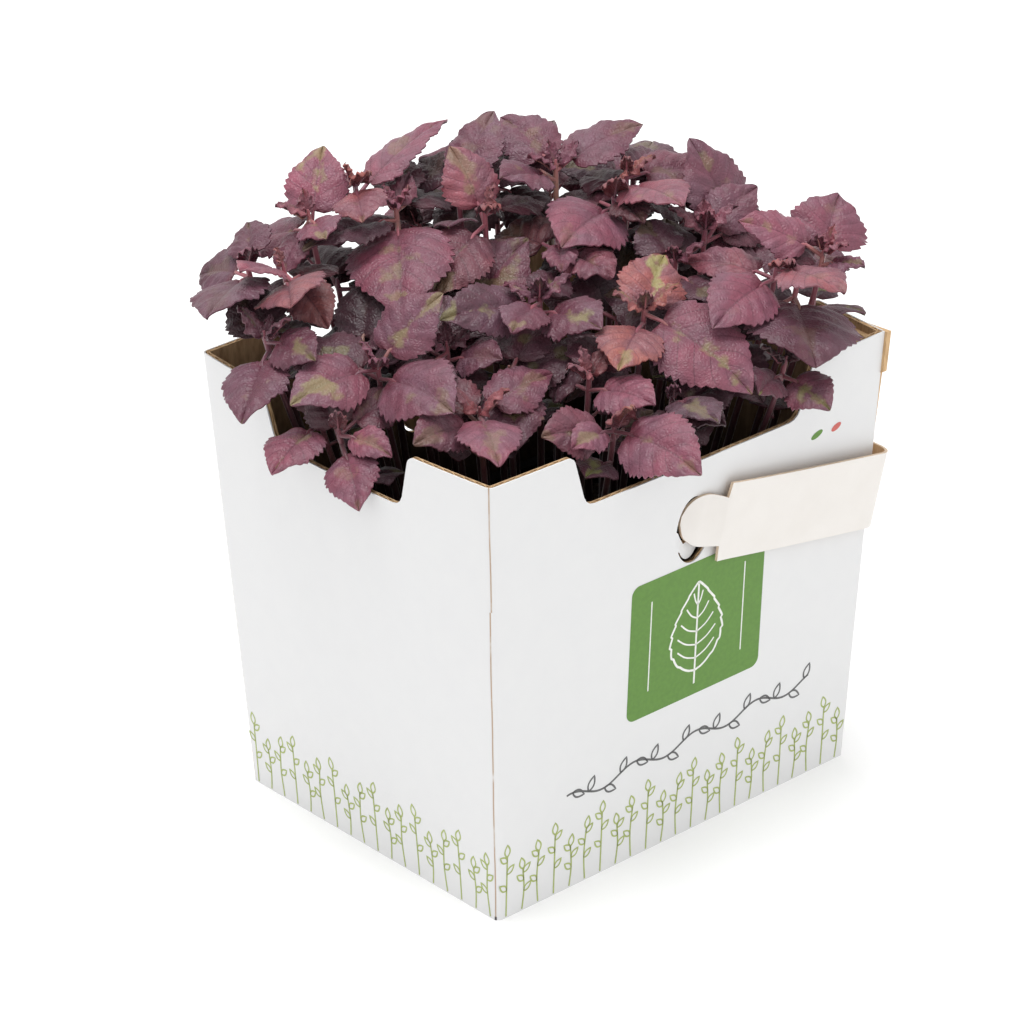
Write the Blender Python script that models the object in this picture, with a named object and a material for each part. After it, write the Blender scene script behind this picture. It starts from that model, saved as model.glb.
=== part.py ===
"""Red shiso microgreens growing in a black tray inside a notched white carton with a carrying strap.

The carton stands on Z = 0 with its centre on the Z axis. The long printed wall faces -Y, and the strap
is folded down round the short wall that faces +X. Sizes are in millimetres until a mesh is made.
"""
import math
import random

import bmesh
import bpy
from mathutils import Vector
from mathutils.bvhtree import BVHTree

METRES = 0.001

# Carton: outer sizes at the base and at the rim, board thickness and how far the walls bow out at the rim
CARTON_HEIGHT = 120.0
BASE_LENGTH, BASE_DEPTH = 119.0, 94.5
RIM_LENGTH, RIM_DEPTH = 130.0, 106.0
BOARD = 1.5
LONG_BOW, SHORT_BOW = 1.0, 3.0
WALL_COLUMNS = 6

# Notches in the rim: half width at the rim and at the bottom of the cut
NOTCH_DEPTH = 14.5
LONG_NOTCH_TOP, LONG_NOTCH_BOTTOM = 39.5, 35.0
SHORT_NOTCH_TOP, SHORT_NOTCH_BOTTOM = 27.0, 23.0
NOTCH_RADIUS = 4.0
TAB_RADIUS = 2.5

# Oval cut for the strap in the middle of each long wall, with the flap of board pushed in behind it
SLOT_X, SLOT_Z = 0.6, 87.2
SLOT_HALF_WIDTH, SLOT_HALF_HEIGHT = 5.7, 9.0
FLAP_HALF_WIDTH, FLAP_HALF_HEIGHT = 5.0, 8.3
FLAP_HINGE_X = -5.0
FLAP_SLOPE = math.tan(math.radians(12))

# Corner where the carton is glued: the flap inside, and the short wall's raw edge springing off outside
GLUE_FLAP_WIDTH = 15.0
GLUE_FLAP_TOP = 118.0
RAW_EDGE_WIDTH = 8.0
# Heights along the raw edge, how far it stands in front of the printed wall, and how far it springs off
RAW_EDGE_ROWS = [
    (2.0, 0.05, 0.25), (94.0, 0.05, 0.35), (108.9, 0.05, 0.95), (109.1, 0.7, 1.4), (119.9, 0.8, 1.5),
]

# Strap: a flat card band, tilted down from the slots to the far end
STRAP_THICKNESS = 0.8
STRAP_HALF_WIDTH = 10.4
STRAP_TILT = math.radians(10.3)
STRAP_LEAN = math.tan(math.radians(6))
STRAP_PIVOT_Z = 88.7
STRAP_CORNER_X = 63.4
STRAP_CORNER_RADIUS = 3.7
STRAP_CORNER_STEPS = 4
STRAP_CORNER_STANDOFF = 2.3
# Tongue and leg of the strap: place along it, lower and upper edge, distance of its middle off the wall
STRAP_COLUMNS = [
    (-3.6, 0.4, 2.4, -0.9),
    (-2.4, -2.9, 5.0, -0.5),
    (-0.6, -4.5, 6.9, 0.1),
    (1.4, -5.5, 7.7, 0.6),
    (3.6, -5.9, 7.8, 0.85),
    (6.4, -6.1, 7.2, 1.2),
    (8.9, -6.3, 6.5, 1.8),
    (9.3, -STRAP_HALF_WIDTH, STRAP_HALF_WIDTH, 1.9),
    (28.0, -STRAP_HALF_WIDTH, STRAP_HALF_WIDTH, 2.2),
    (46.0, -STRAP_HALF_WIDTH, STRAP_HALF_WIDTH, STRAP_CORNER_STANDOFF),
]
# Middle of the band along the far end: place across the carton and distance from its centre
STRAP_END = [(-40.0, 67.7), (-20.0, 68.5), (0.0, 68.9), (20.0, 68.5), (40.0, 67.7)]

# Growing tray and the medium in it
GAP = 0.3
TRAY_BASE, TRAY_TOP = (108.0, 83.0), (114.0, 89.0)
TRAY_HEIGHT = 58.0
TRAY_WALL = 1.0
TRAY_FLANGE = 2.4
TRAY_FLANGE_THICKNESS = 1.2
TRAY_CORNER = 9.0
MEDIUM_TOP = 50.0
HOLE_DEPTH = 6.0

# Stems
STEM_RADIUS = 1.15
CROWN_RADIUS = 0.75
BUD_HEIGHT, BUD_RADIUS = 2.5, 0.35
STEM_SIDES = 4
STEM_STEPS = 4
PETIOLE_LENGTH = 5.0
PETIOLE_HALF_WIDTH = 0.65
PETIOLE_THICKNESS = 1.1
ROOT_OFFSET = 0.2
# Depth below the crown of the lower and the upper pair of leaves, and the most degrees that a leaf rolls
LOWER_PAIR, UPPER_PAIR = 3.0, 0.5
LEAF_ROLL = 10.0
# Share of a stem's whole lean that is left at its crown
CROWN_LEAN = 0.8
HOLE_CLEARANCE = 0.35
# A foot aims at this share of its crown's place, within the reach, and keeps this far from the others
FOOT_SHARE = (0.78, 0.7)
FOOT_REACH = (47.0, 34.0)
FOOT_SPACING = 5.0
FOOT_TRIES = 60
FOOT_SPREAD = 0.35

# Blades
BLADE_THICKNESS = 0.6
BLADE_DROOP = math.radians(34)
BLADE_FOLD = 0.16
BLADE_CURL = 0.3
BLADE_WAVE = 0.7
BLADE_LOBE = 0.2
TOOTH_DEPTH = 0.13
TOOTH_REACH = 1.04
TOOTH_SKEW = 0.62
# Reach above which a leaf has four teeth on each edge, not three
LARGE_LEAF = 25.5
CLEARANCE = 0.4
EDGE_CLEARANCE = 1.06
# Least distance of a leaf from the walls inside, from the rim, and from the bowed long walls outside
INSIDE_CLEARANCE = 2.0
RIM_CLEARANCE = 1.0
LONG_STANDOFF = 1.6

# Canopy: height over the carton's middle and how it climbs away from the front corner
CANOPY_MIDDLE = 133.0
CANOPY_CLIMB = 0.27
CANOPY_CREST = 30.0
CANOPY_FALL = 0.005
CLIMB_X, CLIMB_Y = 0.664, 0.748
# Degrees that the blades lean towards the front corner, and outwards at the rim
FRONT_LEAN = 28.0
OUTWARD_LEAN = 16.0
FILL_SEED = 11
FILL_SPACING = 14.5
FILL_AREA = (57.0, 47.0)
FILL_TRIES = 4000
# Lowest distance back of a fill stem, and the ranges of its height over the canopy and of its leaves
FILL_FRONT = -38.0
FILL_LIFT = (-10.0, -1.0)
FILL_REACH = (26.0, 32.0)
FILL_SHORT_REACH = (20.0, 26.0)
FILL_WIDTH = (0.82, 0.98)
FILL_LEAVES = 4
# Most degrees that a fill leaf turns off its cross, and that its pitch goes below and above the lean
FILL_TURN = 14.0
FILL_PITCH = (-14.0, 6.0)
MOST_STEMS = 43
# Degrees of turning that count as much as shrinking a leaf to nothing
SHRINK_COST = 160.0

# Stems that stand out in the photograph: crown X and Y, lift over the canopy, and for each leaf its
# heading and pitch in degrees, its reach from the crown and its width as a share of its length
SEEN_STEMS = {
    "big_heart": (-12, 41, 7,
        [(-129, -25, 34, 0.93), (-179, -1, 31, 0.58), (-8, -14, 28, 0.7), (47, 9, 22, 0.8)]),
    "right_round": (46, -41, 1, [(-124, -18, 28, 1.28), (-175, -8, 21, 0.95)]),
    "right_star": (42, -38, 6,
        [(108, -4, 26, 0.57), (-169, -11, 27, 0.82), (-91, 0, 24, 0.95), (17, 4, 18, 1.1)]),
    "orange": (10, -25, 3, [(30, 27, 21, 1.1), (-149, -11, 23, 0.94), (-88, -17, 34, 0.83)]),
    "middle_heart": (33, 10, 5, [(-162, -5, 27, 1.0), (105, -16, 24, 0.68), (-106, -7, 16, 0.9)]),
    "top_cluster": (39, 12, 7,
        [(-94, -5, 26, 0.9), (89, -12, 17, 1.0), (-20, -10, 28, 0.65), (20, -1, 20, 0.9)]),
    "front_left": (-63, 3, -8,
        [(-119, -26, 22, 0.8), (86, 9, 18, 0.95), (-3, 10, 21, 0.8), (-83, -16, 17, 0.7)]),
    "front_middle": (-37, -18, -5,
        [(-178, 3, 22, 0.82), (91, 9, 20, 0.93), (-128, -20, 27, 0.72), (0, 2, 24, 0.74)]),
    "front_right": (-16, -42, -6,
        [(165, 11, 20, 0.93), (9, 1, 16, 1.0), (-88, -7, 29, 0.79), (-178, -10, 16, 0.75)]),
    "top_right": (54, -42, 6, [(31, 29, 22, 1.2), (-90, 11, 14, 0.75), (138, 9, 23, 0.8)]),
    "left_rim": (-62, 31, 1,
        [(-146, -24, 25, 0.85), (73, 25, 21, 1.0), (-88, -12, 18, 1.0), (11, -2, 16, 0.95)]),
    "left_edge": (-52, 50, 6, [(93, -19, 20, 1.1), (-152, -19, 27, 0.92), (50, -1, 17, 1.0)]),
    "left_round": (-47, 42, 6,
        [(-126, -5, 23, 1.05), (22, -7, 17, 1.1), (-169, -6, 18, 1.0), (-94, -6, 20, 0.85)]),
    "ribbed": (13, 9, 3, [(93, -8, 22, 1.1), (-89, -6, 20, 1.05), (-129, -18, 16, 0.75)]),
    "heart_side": (4, 26, 6, [(-165, -17, 28, 0.83), (88, 24, 22, 0.88), (2, -12, 21, 0.88)]),
    "top_middle": (27, 25, 8,
        [(101, 2, 34, 0.66), (-174, 15, 22, 0.88), (84, 14, 25, 0.8), (-12, 13, 27, 0.75)]),
    "middle_pair": (-5, -4, 2,
        [(163, 4, 27, 0.73), (-89, -2, 22, 1.0), (-158, -19, 20, 0.87), (27, 15, 15, 1.05)]),
    "back_spike": (-19, 48, 13, [(7, 15, 36, 0.42), (98, -15, 24, 0.89), (-124, -13, 17, 1.1)]),
    "left_back": (-33, 49, 10,
        [(101, -24, 25, 0.85), (14, 37, 24, 0.85), (-97, -4, 16, 1.05), (-138, -18, 17, 0.9)]),
    "back_middle": (4, 36, 10,
        [(89, -1, 18, 1.0), (12, 24, 26, 0.75), (-91, -2, 19, 0.98), (-165, -7, 22, 0.8)]),
    "cup": (31, -14, 0, [(42, 26, 18, 1.15), (-98, -4, 19, 0.98), (84, 20, 16, 1.15)]),
    "back_right": (43, -12, 2, [(-8, -14, 24, 0.63), (3, 12, 22, 0.82), (83, 3, 17, 1.0)]),
    "middle_left": (-28, 4, -4,
        [(105, 3, 20, 0.87), (-77, 22, 17, 1.0), (-161, -15, 21, 1.0), (54, 12, 17, 1.0)]),
    "middle_right": (-11, -28, -3, [(95, -14, 14, 1.1), (-86, -1, 22, 0.88), (33, 7, 18, 1.15)]),
    "left_pair": (-40, 22, -9, [(96, -6, 22, 1.1), (-99, 6, 19, 1.1), (48, 45, 24, 0.9)]),
    "front_arch": (3, -42, -8,
        [(-92, 5, 20, 0.67), (-5, 2, 22, 0.82), (-145, -40, 26, 0.38), (-107, -24, 25, 0.65)]),
    "right_dark": (42, -28, -15, [(-137, -7, 23, 1.1), (97, -10, 16, 1.1)]),
    "right_tab": (33, -50, -9, [(-76, -14, 18, 0.95), (-149, -8, 16, 0.9)]),
    "rim_left": (-62, 12, -8, [(-163, -6, 22, 0.9), (60, 23, 16, 1.0)]),
    "left_inner": (-31, 41, -5,
        [(-146, 1, 24, 1.0), (34, 4, 23, 0.95), (-97, 6, 24, 0.95), (77, 6, 23, 0.95)]),
    "back_inner": (-1, 45, -5,
        [(-125, -3, 22, 0.9), (70, 1, 20, 0.95), (-168, 14, 22, 0.9), (21, -13, 20, 0.95)]),
}


def clear_scene():
    for item in list(bpy.data.objects):
        bpy.data.objects.remove(item, do_unlink=True)


def make_material(name, colour, roughness, metallic=0.0):
    material = bpy.data.materials.new(name)
    material.use_nodes = True
    shader = material.node_tree.nodes["Principled BSDF"]
    shader.inputs["Base Color"].default_value = (*colour, 1.0)
    shader.inputs["Roughness"].default_value = roughness
    shader.inputs["Metallic"].default_value = metallic
    return material


def make_object(name, points, faces, material=None):
    """Closed mesh in metres from points in millimetres, with its faces turned out."""
    mesh = bpy.data.meshes.new(name)
    mesh.from_pydata([Vector(point) * METRES for point in points], [], faces)
    work = bmesh.new()
    work.from_mesh(mesh)
    bmesh.ops.recalc_face_normals(work, faces=work.faces)
    bmesh.ops.triangulate(work, faces=work.faces)
    work.to_mesh(mesh)
    work.free()
    item = bpy.data.objects.new(name, mesh)
    bpy.context.scene.collection.objects.link(item)
    if material:
        mesh.materials.append(material)
    return item


def combine(body, others, operation, solver="EXACT"):
    """Join the others to a body, or cut them from it, in one applied Boolean, and remove them."""
    group = bpy.data.collections.new("boolean_parts")
    bpy.context.scene.collection.children.link(group)
    for other in others:
        bpy.context.scene.collection.objects.unlink(other)
        group.objects.link(other)
    change = body.modifiers.new(operation.lower(), "BOOLEAN")
    change.operation = operation
    change.operand_type = "COLLECTION"
    change.collection = group
    change.solver = solver
    bpy.context.view_layer.update()
    seen = body.evaluated_get(bpy.context.evaluated_depsgraph_get())
    mesh = bpy.data.meshes.new_from_object(seen)
    body.modifiers.clear()
    body.data = mesh
    for other in others:
        bpy.data.objects.remove(other, do_unlink=True)
    bpy.data.collections.remove(group)
    return body


def band_faces(start, other, count, closed=True):
    """Quads between two rings of points that begin at the given indices."""
    steps = count if closed else count - 1
    faces = []
    for k in range(steps):
        follow = (k + 1) % count
        faces.append((start + k, start + follow, other + follow, other + k))
    return faces


def half_sizes(z):
    """Half length and half depth of the carton's outside at a height."""
    rise = z / CARTON_HEIGHT
    half_length = (BASE_LENGTH + (RIM_LENGTH - BASE_LENGTH) * rise) / 2
    half_depth = (BASE_DEPTH + (RIM_DEPTH - BASE_DEPTH) * rise) / 2
    return half_length, half_depth


def long_wall_out(x, z):
    """Distance of a long wall's outer face from the middle."""
    half_length, half_depth = half_sizes(z)
    return half_depth + LONG_BOW * z / CARTON_HEIGHT * (1 - (x / half_length) ** 2)


def short_wall_out(y, z):
    """Distance of a short wall's outer face from the middle."""
    half_length, half_depth = half_sizes(z)
    return half_length + SHORT_BOW * z / CARTON_HEIGHT * (1 - (y / half_depth) ** 2)


def wall_ring(z, inset):
    """Points round the four walls at a height, anticlockwise from the front corner."""
    half_length, half_depth = half_sizes(z)
    inner_length, inner_depth = half_length - inset, half_depth - inset
    shares = [2 * k / WALL_COLUMNS - 1 for k in range(WALL_COLUMNS)]
    front = []
    right = []
    for share in shares:
        x, y = share * inner_length, share * inner_depth
        front.append(Vector((x, inset - long_wall_out(share * half_length, z), z)))
        right.append(Vector((short_wall_out(share * half_depth, z) - inset, y, z)))
    turned = [Vector((-point.x, -point.y, z)) for point in front + right]
    return front + right + turned


def carton_shell():
    """Open box of board with four leaning, bowed walls and a flat floor."""
    levels = [(0, 0), (CARTON_HEIGHT, 0), (CARTON_HEIGHT, BOARD), (BOARD, BOARD)]
    rings = [wall_ring(z, inset) for z, inset in levels]
    count = len(rings[0])
    points = [point for ring in rings for point in ring]
    faces = [tuple(range(count - 1, -1, -1)), tuple(range(3 * count, 4 * count))]
    for k in range(3):
        faces += band_faces(k * count, (k + 1) * count, count)
    return make_object("carton", points, faces)


def prism(name, outline, near, far, axis):
    """Solid between two planes across an axis; the outline holds (along, height) pairs."""
    points = []
    for place in (near, far):
        for along, height in outline:
            points.append((place, along, height) if axis == "X" else (along, place, height))
    count = len(outline)
    faces = [tuple(range(count)), tuple(range(2 * count - 1, count - 1, -1))]
    faces += band_faces(0, count, count)
    return make_object(name, points, faces)


def rounded(corners, steps=3):
    """Outline whose corners (along, height, radius) are turned into arcs where a radius is given."""
    outline = []
    for k, (along, height, radius) in enumerate(corners):
        here = Vector((along, height))
        if radius == 0:
            outline.append(tuple(here))
            continue
        before = Vector(corners[k - 1][:2]) - here
        after = Vector(corners[(k + 1) % len(corners)][:2]) - here
        half_angle = before.angle(after) / 2
        inward = (before.normalized() + after.normalized()).normalized()
        middle = here + inward * (radius / math.sin(half_angle))
        start = here + before.normalized() * (radius / math.tan(half_angle)) - middle
        end = here + after.normalized() * (radius / math.tan(half_angle)) - middle
        for step in range(steps + 1):
            direction = start.normalized().slerp(end.normalized(), step / steps)
            outline.append(tuple(middle + direction * radius))
    return outline


def notch_cutter(name, half_top, half_bottom, axis):
    """Prism that cuts the same notch in two facing walls, with round corners on the tabs too."""
    rim, bottom = CARTON_HEIGHT, CARTON_HEIGHT - NOTCH_DEPTH
    outside = half_top + TAB_RADIUS + 1.5
    corners = [
        (-outside, rim + 0.15, 0), (-half_top, rim, TAB_RADIUS), (-half_bottom, bottom, NOTCH_RADIUS),
        (half_bottom, bottom, NOTCH_RADIUS), (half_top, rim, TAB_RADIUS), (outside, rim + 0.15, 0),
        (outside, rim + 10, 0), (-outside, rim + 10, 0),
    ]
    reach = RIM_LENGTH
    return prism(name, rounded(corners), -reach, reach, axis)


def oval(half_width, half_height, first=0, last=360, steps=16):
    """Arc of the slot's oval in the wall's plane, between two angles in degrees."""
    arc = []
    for k in range(steps + 1):
        angle = math.radians(first + (last - first) * k / steps)
        arc.append((SLOT_X + half_width * math.cos(angle), SLOT_Z + half_height * math.sin(angle)))
    return arc


def flap_outline(steps):
    """Outline of the lobe that was cut free below the tongue; its left end runs into the wall."""
    root = FLAP_HINGE_X - 1.2
    outline = [(root, SLOT_Z + 1.4), (root, SLOT_Z - 4.5)]
    outline += oval(FLAP_HALF_WIDTH, FLAP_HALF_HEIGHT, 218, 335, steps)
    outline += [(3.5, SLOT_Z - 2.6), (-1.9, SLOT_Z - 3.4), (-3.3, SLOT_Z - 1.4), (-4.4, SLOT_Z + 0.6)]
    return outline


def pushed_in_flap(name, side):
    """Lobe of board that stays hinged to the slot's left side and leans in behind the tongue."""
    outline = flap_outline(6)
    points = []
    for depth in (0.1, BOARD - 0.1):
        for x, z in outline:
            lean = max(0.0, (x - FLAP_HINGE_X) * FLAP_SLOPE)
            points.append((x, side * (long_wall_out(x, z) - depth - lean), z))
    count = len(outline)
    faces = [tuple(range(count)), tuple(range(2 * count - 1, count - 1, -1))]
    faces += band_faces(0, count, count)
    return make_object(name, points, faces)


def slab_faces(rows, columns):
    """Faces of two facing grids of points and of the edges between them."""
    count = rows * columns
    faces = []
    for row in range(rows - 1):
        for column in range(columns - 1):
            corner = row * columns + column
            cell = (corner, corner + 1, corner + 1 + columns, corner + columns)
            faces += [cell, tuple(count + index for index in reversed(cell))]
    loop = list(range(columns)) + [row * columns + columns - 1 for row in range(1, rows)]
    loop += [count - 2 - k for k in range(columns - 1)]
    loop += [row * columns for row in range(rows - 2, 0, -1)]
    for here, follow in zip(loop, loop[1:] + loop[:1]):
        faces.append((here, follow, count + follow, count + here))
    return faces


def board_on_short_wall(name, rows, insets):
    """Board on the +X wall from rows of (height, near Y, far Y, how far the near side springs off)."""
    points = []
    columns = 3
    for inset in insets:
        for z, near, far, spring in rows:
            half_depth = half_sizes(z)[1]
            for k in range(columns):
                share = k / (columns - 1)
                y = near + (far - near) * share
                out = short_wall_out(max(y, -half_depth), z) + spring * (1 - share)
                points.append((out - inset, y, z))
    return make_object(name, points, slab_faces(len(rows), columns))


def glued_corner():
    """Glue flap inside the +X wall and that wall's raw edge, which stands off the printed wall."""
    flap_rows = []
    for z in (BOARD - 0.4, GLUE_FLAP_TOP):
        near = 0.8 - half_sizes(z)[1]
        flap_rows.append((z, near, near + GLUE_FLAP_WIDTH, 0.0))
    flap = board_on_short_wall("glue_flap", flap_rows, (BOARD - 0.8, 2 * BOARD))
    edge_rows = []
    for z, proud, spring in RAW_EDGE_ROWS:
        corner = -half_sizes(z)[1]
        edge_rows.append((z, corner - proud, corner + RAW_EDGE_WIDTH, spring))
    edge = board_on_short_wall("raw_edge", edge_rows, (0.05, BOARD - 0.05))
    return [flap, edge]


def build_carton(material):
    carton = carton_shell()
    reach = RIM_DEPTH
    cutters = [
        notch_cutter("long_notch", LONG_NOTCH_TOP, LONG_NOTCH_BOTTOM, "Y"),
        notch_cutter("short_notch", SHORT_NOTCH_TOP, SHORT_NOTCH_BOTTOM, "X"),
        prism("slots", oval(SLOT_HALF_WIDTH, SLOT_HALF_HEIGHT)[:-1], -reach, reach, "Y"),
    ]
    combine(carton, cutters, "DIFFERENCE")
    additions = glued_corner()
    additions += [pushed_in_flap("front_flap", -1), pushed_in_flap("back_flap", 1)]
    combine(carton, additions, "UNION")
    carton.data.materials.clear()
    carton.data.materials.append(material)
    return carton


def strap_leg_point(along, rise, standoff, face, side):
    """Point of a strap leg; rise is across the band and face is +-1 for its outer and inner side."""
    x = along * math.cos(STRAP_TILT) + rise * math.sin(STRAP_TILT)
    z = STRAP_PIVOT_Z + rise * math.cos(STRAP_TILT) - along * math.sin(STRAP_TILT)
    middle_z = STRAP_PIVOT_Z - along * math.sin(STRAP_TILT)
    share = min(1.0, max(0.0, (along - 6.0) / 6.0))
    wall_slope = (RIM_DEPTH - BASE_DEPTH) / 2 / CARTON_HEIGHT
    lean = wall_slope + (STRAP_LEAN - wall_slope) * share
    out = long_wall_out(along, middle_z) + standoff + rise * lean + face * STRAP_THICKNESS / 2
    return Vector((x, side * out, z))


def strap_end_point(along, across, normal, rise, face):
    """Point of the strap's bend or far end, on a path (along, across) in the tilted plane."""
    along += normal.x * face * STRAP_THICKNESS / 2
    across += normal.y * (face * STRAP_THICKNESS / 2 + rise * STRAP_LEAN)
    x = along * math.cos(STRAP_TILT) + rise * math.sin(STRAP_TILT)
    z = STRAP_PIVOT_Z + rise * math.cos(STRAP_TILT) - along * math.sin(STRAP_TILT)
    return Vector((x, across, z))


def strap_sections():
    """Four corners of each section of the strap, from the front tongue round to the back one."""
    corners = [(1, 1), (0, 1), (0, -1), (1, -1)]
    legs = {}
    for side in (-1, 1):
        legs[side] = []
        for along, low, high, standoff in STRAP_COLUMNS:
            rises = (low, high)
            section = [strap_leg_point(along, rises[edge], standoff, face, side) for edge, face in corners]
            legs[side].append(section)
    corner_z = STRAP_PIVOT_Z - STRAP_CORNER_X * math.sin(STRAP_TILT)
    leg_out = long_wall_out(STRAP_CORNER_X, corner_z) + STRAP_CORNER_STANDOFF
    centre_y = leg_out - STRAP_CORNER_RADIUS
    path = []
    for k in range(STRAP_CORNER_STEPS + 1):
        angle = math.pi / 2 * (k / STRAP_CORNER_STEPS - 1)
        normal = Vector((math.cos(angle), math.sin(angle)))
        along = STRAP_CORNER_X + STRAP_CORNER_RADIUS * normal.x
        path.append((along, STRAP_CORNER_RADIUS * normal.y - centre_y, normal))
    path += [(along, across, Vector((1, 0))) for across, along in STRAP_END]
    path += [(along, -across, Vector((normal.x, -normal.y))) for along, across, normal in reversed(path[:5])]
    bend = []
    for along, across, normal in path:
        rises = (-STRAP_HALF_WIDTH, STRAP_HALF_WIDTH)
        bend.append([strap_end_point(along, across, normal, rises[edge], face) for edge, face in corners])
    return legs[-1] + bend + legs[1][::-1]


def build_strap(material):
    sections = strap_sections()
    points = [point for section in sections for point in section]
    faces = [(0, 1, 2, 3), tuple(len(points) - 1 - k for k in range(4))]
    for k in range(len(sections) - 1):
        faces += band_faces(4 * k, 4 * k + 4, 4)
    return make_object("handle_strap", points, faces, material)


def tray_ring(size, z):
    """Rounded rectangle at a height."""
    half_length, half_depth = size[0] / 2, size[1] / 2
    ring = []
    for turn, (sign_x, sign_y) in enumerate([(1, -1), (1, 1), (-1, 1), (-1, -1)]):
        for k in range(4):
            angle = math.radians(-90 + 90 * turn + 30 * k)
            x = sign_x * (half_length - TRAY_CORNER) + TRAY_CORNER * math.cos(angle)
            y = sign_y * (half_depth - TRAY_CORNER) + TRAY_CORNER * math.sin(angle)
            ring.append(Vector((x, y, z)))
    return ring


def grown(size, amount):
    return (size[0] + 2 * amount, size[1] + 2 * amount)


def tray_size(z):
    """Outer size of the tray's wall at a height over its foot."""
    share = z / TRAY_HEIGHT
    return tuple(base + (top - base) * share for base, top in zip(TRAY_BASE, TRAY_TOP))


def stacked_solid(name, rings, material):
    """Closed solid whose skin runs through the rings in turn, capped by the first and the last."""
    count = len(rings[0])
    points = [point for ring in rings for point in ring]
    last = (len(rings) - 1) * count
    faces = [tuple(range(count)), tuple(range(last + count - 1, last - 1, -1))]
    for k in range(len(rings) - 1):
        faces += band_faces(k * count, (k + 1) * count, count)
    return make_object(name, points, faces, material)


def build_tray(material):
    foot = BOARD + GAP
    flange_z = foot + TRAY_HEIGHT - TRAY_FLANGE_THICKNESS
    flange_wall = tray_size(TRAY_HEIGHT - TRAY_FLANGE_THICKNESS)
    rings = [
        tray_ring(TRAY_BASE, foot),
        tray_ring(flange_wall, flange_z),
        tray_ring(grown(TRAY_TOP, TRAY_FLANGE), flange_z),
        tray_ring(grown(TRAY_TOP, TRAY_FLANGE), foot + TRAY_HEIGHT),
        tray_ring(grown(TRAY_TOP, -TRAY_WALL), foot + TRAY_HEIGHT),
        tray_ring(grown(TRAY_BASE, -TRAY_WALL), foot + TRAY_WALL),
    ]
    return stacked_solid("growing_tray", rings, material)


def build_medium(feet, material):
    """Block of growing medium with a plain hole for each stem."""
    foot = BOARD + GAP
    bottom = foot + TRAY_WALL + GAP
    inset = -TRAY_WALL - GAP
    rings = [
        tray_ring(grown(tray_size(bottom - foot), inset), bottom),
        tray_ring(grown(tray_size(MEDIUM_TOP - foot), inset), MEDIUM_TOP),
    ]
    medium = stacked_solid("growing_medium", rings, material)
    sides = STEM_SIDES
    radius = STEM_RADIUS + HOLE_CLEARANCE / math.cos(math.pi / sides)
    holes = []
    for foot_x, foot_y in feet:
        low = []
        for k in range(sides):
            turn = math.tau * k / sides
            x, y = foot_x + radius * math.cos(turn), foot_y + radius * math.sin(turn)
            low.append(Vector((x, y, MEDIUM_TOP - HOLE_DEPTH)))
        high = [Vector((point.x, point.y, MEDIUM_TOP + 5)) for point in low]
        holes.append(stacked_solid("stem_hole", [low, high], None))
    combine(medium, holes, "DIFFERENCE")
    medium.data.materials.clear()
    medium.data.materials.append(material)
    return medium


class Leaf:
    """One blade with its petiole: where it starts on the stem, where it points and how it is shaped."""

    def __init__(self, root, heading, pitch, reach, width, roll=0.0, phase=0.0):
        self.axis = root
        turn = math.radians(heading)
        self.root = root + Vector((math.cos(turn), math.sin(turn), 0)) * ROOT_OFFSET
        self.heading = heading
        self.pitch = pitch
        self.reach = reach
        self.width = width
        self.roll = roll
        self.phase = phase
        self.petiole = min(PETIOLE_LENGTH, 0.25 * reach)
        self.length = reach - self.petiole
        self.teeth = 4 if reach > LARGE_LEAF else 3

    def changed(self, turn, lift, scale):
        """The same leaf turned, raised or shrunk a little."""
        heading, pitch = self.heading + turn, self.pitch + lift
        return Leaf(self.axis, heading, pitch, self.reach * scale, self.width, self.roll, self.phase)

    def frame(self, share):
        """Place on the midrib, and the directions across the blade and out of its face."""
        heading = math.radians(self.heading)
        start = math.radians(self.pitch) + BLADE_DROOP / 2
        slope = start - BLADE_DROOP * share
        arc = self.length / BLADE_DROOP
        run = arc * (math.sin(start) - math.sin(slope)) + self.petiole * math.cos(start)
        rise = arc * (math.cos(slope) - math.cos(start)) + self.petiole * math.sin(start)
        outward = Vector((math.cos(heading), math.sin(heading), 0))
        place = self.root + outward * run + Vector((0, 0, rise))
        forward = outward * math.cos(slope) + Vector((0, 0, math.sin(slope)))
        across = Vector((-math.sin(heading), math.cos(heading), 0))
        normal = forward.cross(across)
        roll = math.radians(self.roll)
        rolled = across * math.cos(roll) + normal * math.sin(roll)
        return place, forward, rolled, forward.cross(rolled)

    def point(self, share, side, thickness=0.0):
        """Point of the blade at a share of its length; side runs from -1 to 1 between its edges."""
        half = self.width * self.length / 2
        outline = math.sin(math.pi * min(1.0, max(0.0, share)) ** 0.7) ** 0.8 * (1 - 0.25 * share ** 3)
        offset = side * outline * half
        back = BLADE_LOBE * abs(side) * outline * (1 - share) ** 6
        place, forward, across, normal = self.frame(share - back)
        edge = abs(offset) / half
        ripple = math.sin(9.0 * share + self.phase + (1.5 if side > 0 else 0.0))
        height = half * edge * (BLADE_FOLD - BLADE_CURL * edge) + BLADE_WAVE * edge * edge * ripple
        return place + across * offset + normal * (height + thickness)


def tooth_marks(teeth):
    """(share, side) pairs up one edge of a blade: a notch and a forward tip for each tooth."""
    marks = []
    first, last = 0.05, 0.9
    for k in range(teeth):
        share = first + (last - first) * k / teeth
        step = (last - first) / teeth
        if k:
            marks.append((share, 1 - TOOTH_DEPTH))
        marks.append((share + TOOTH_SKEW * step, TOOTH_REACH))
    return marks


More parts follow.
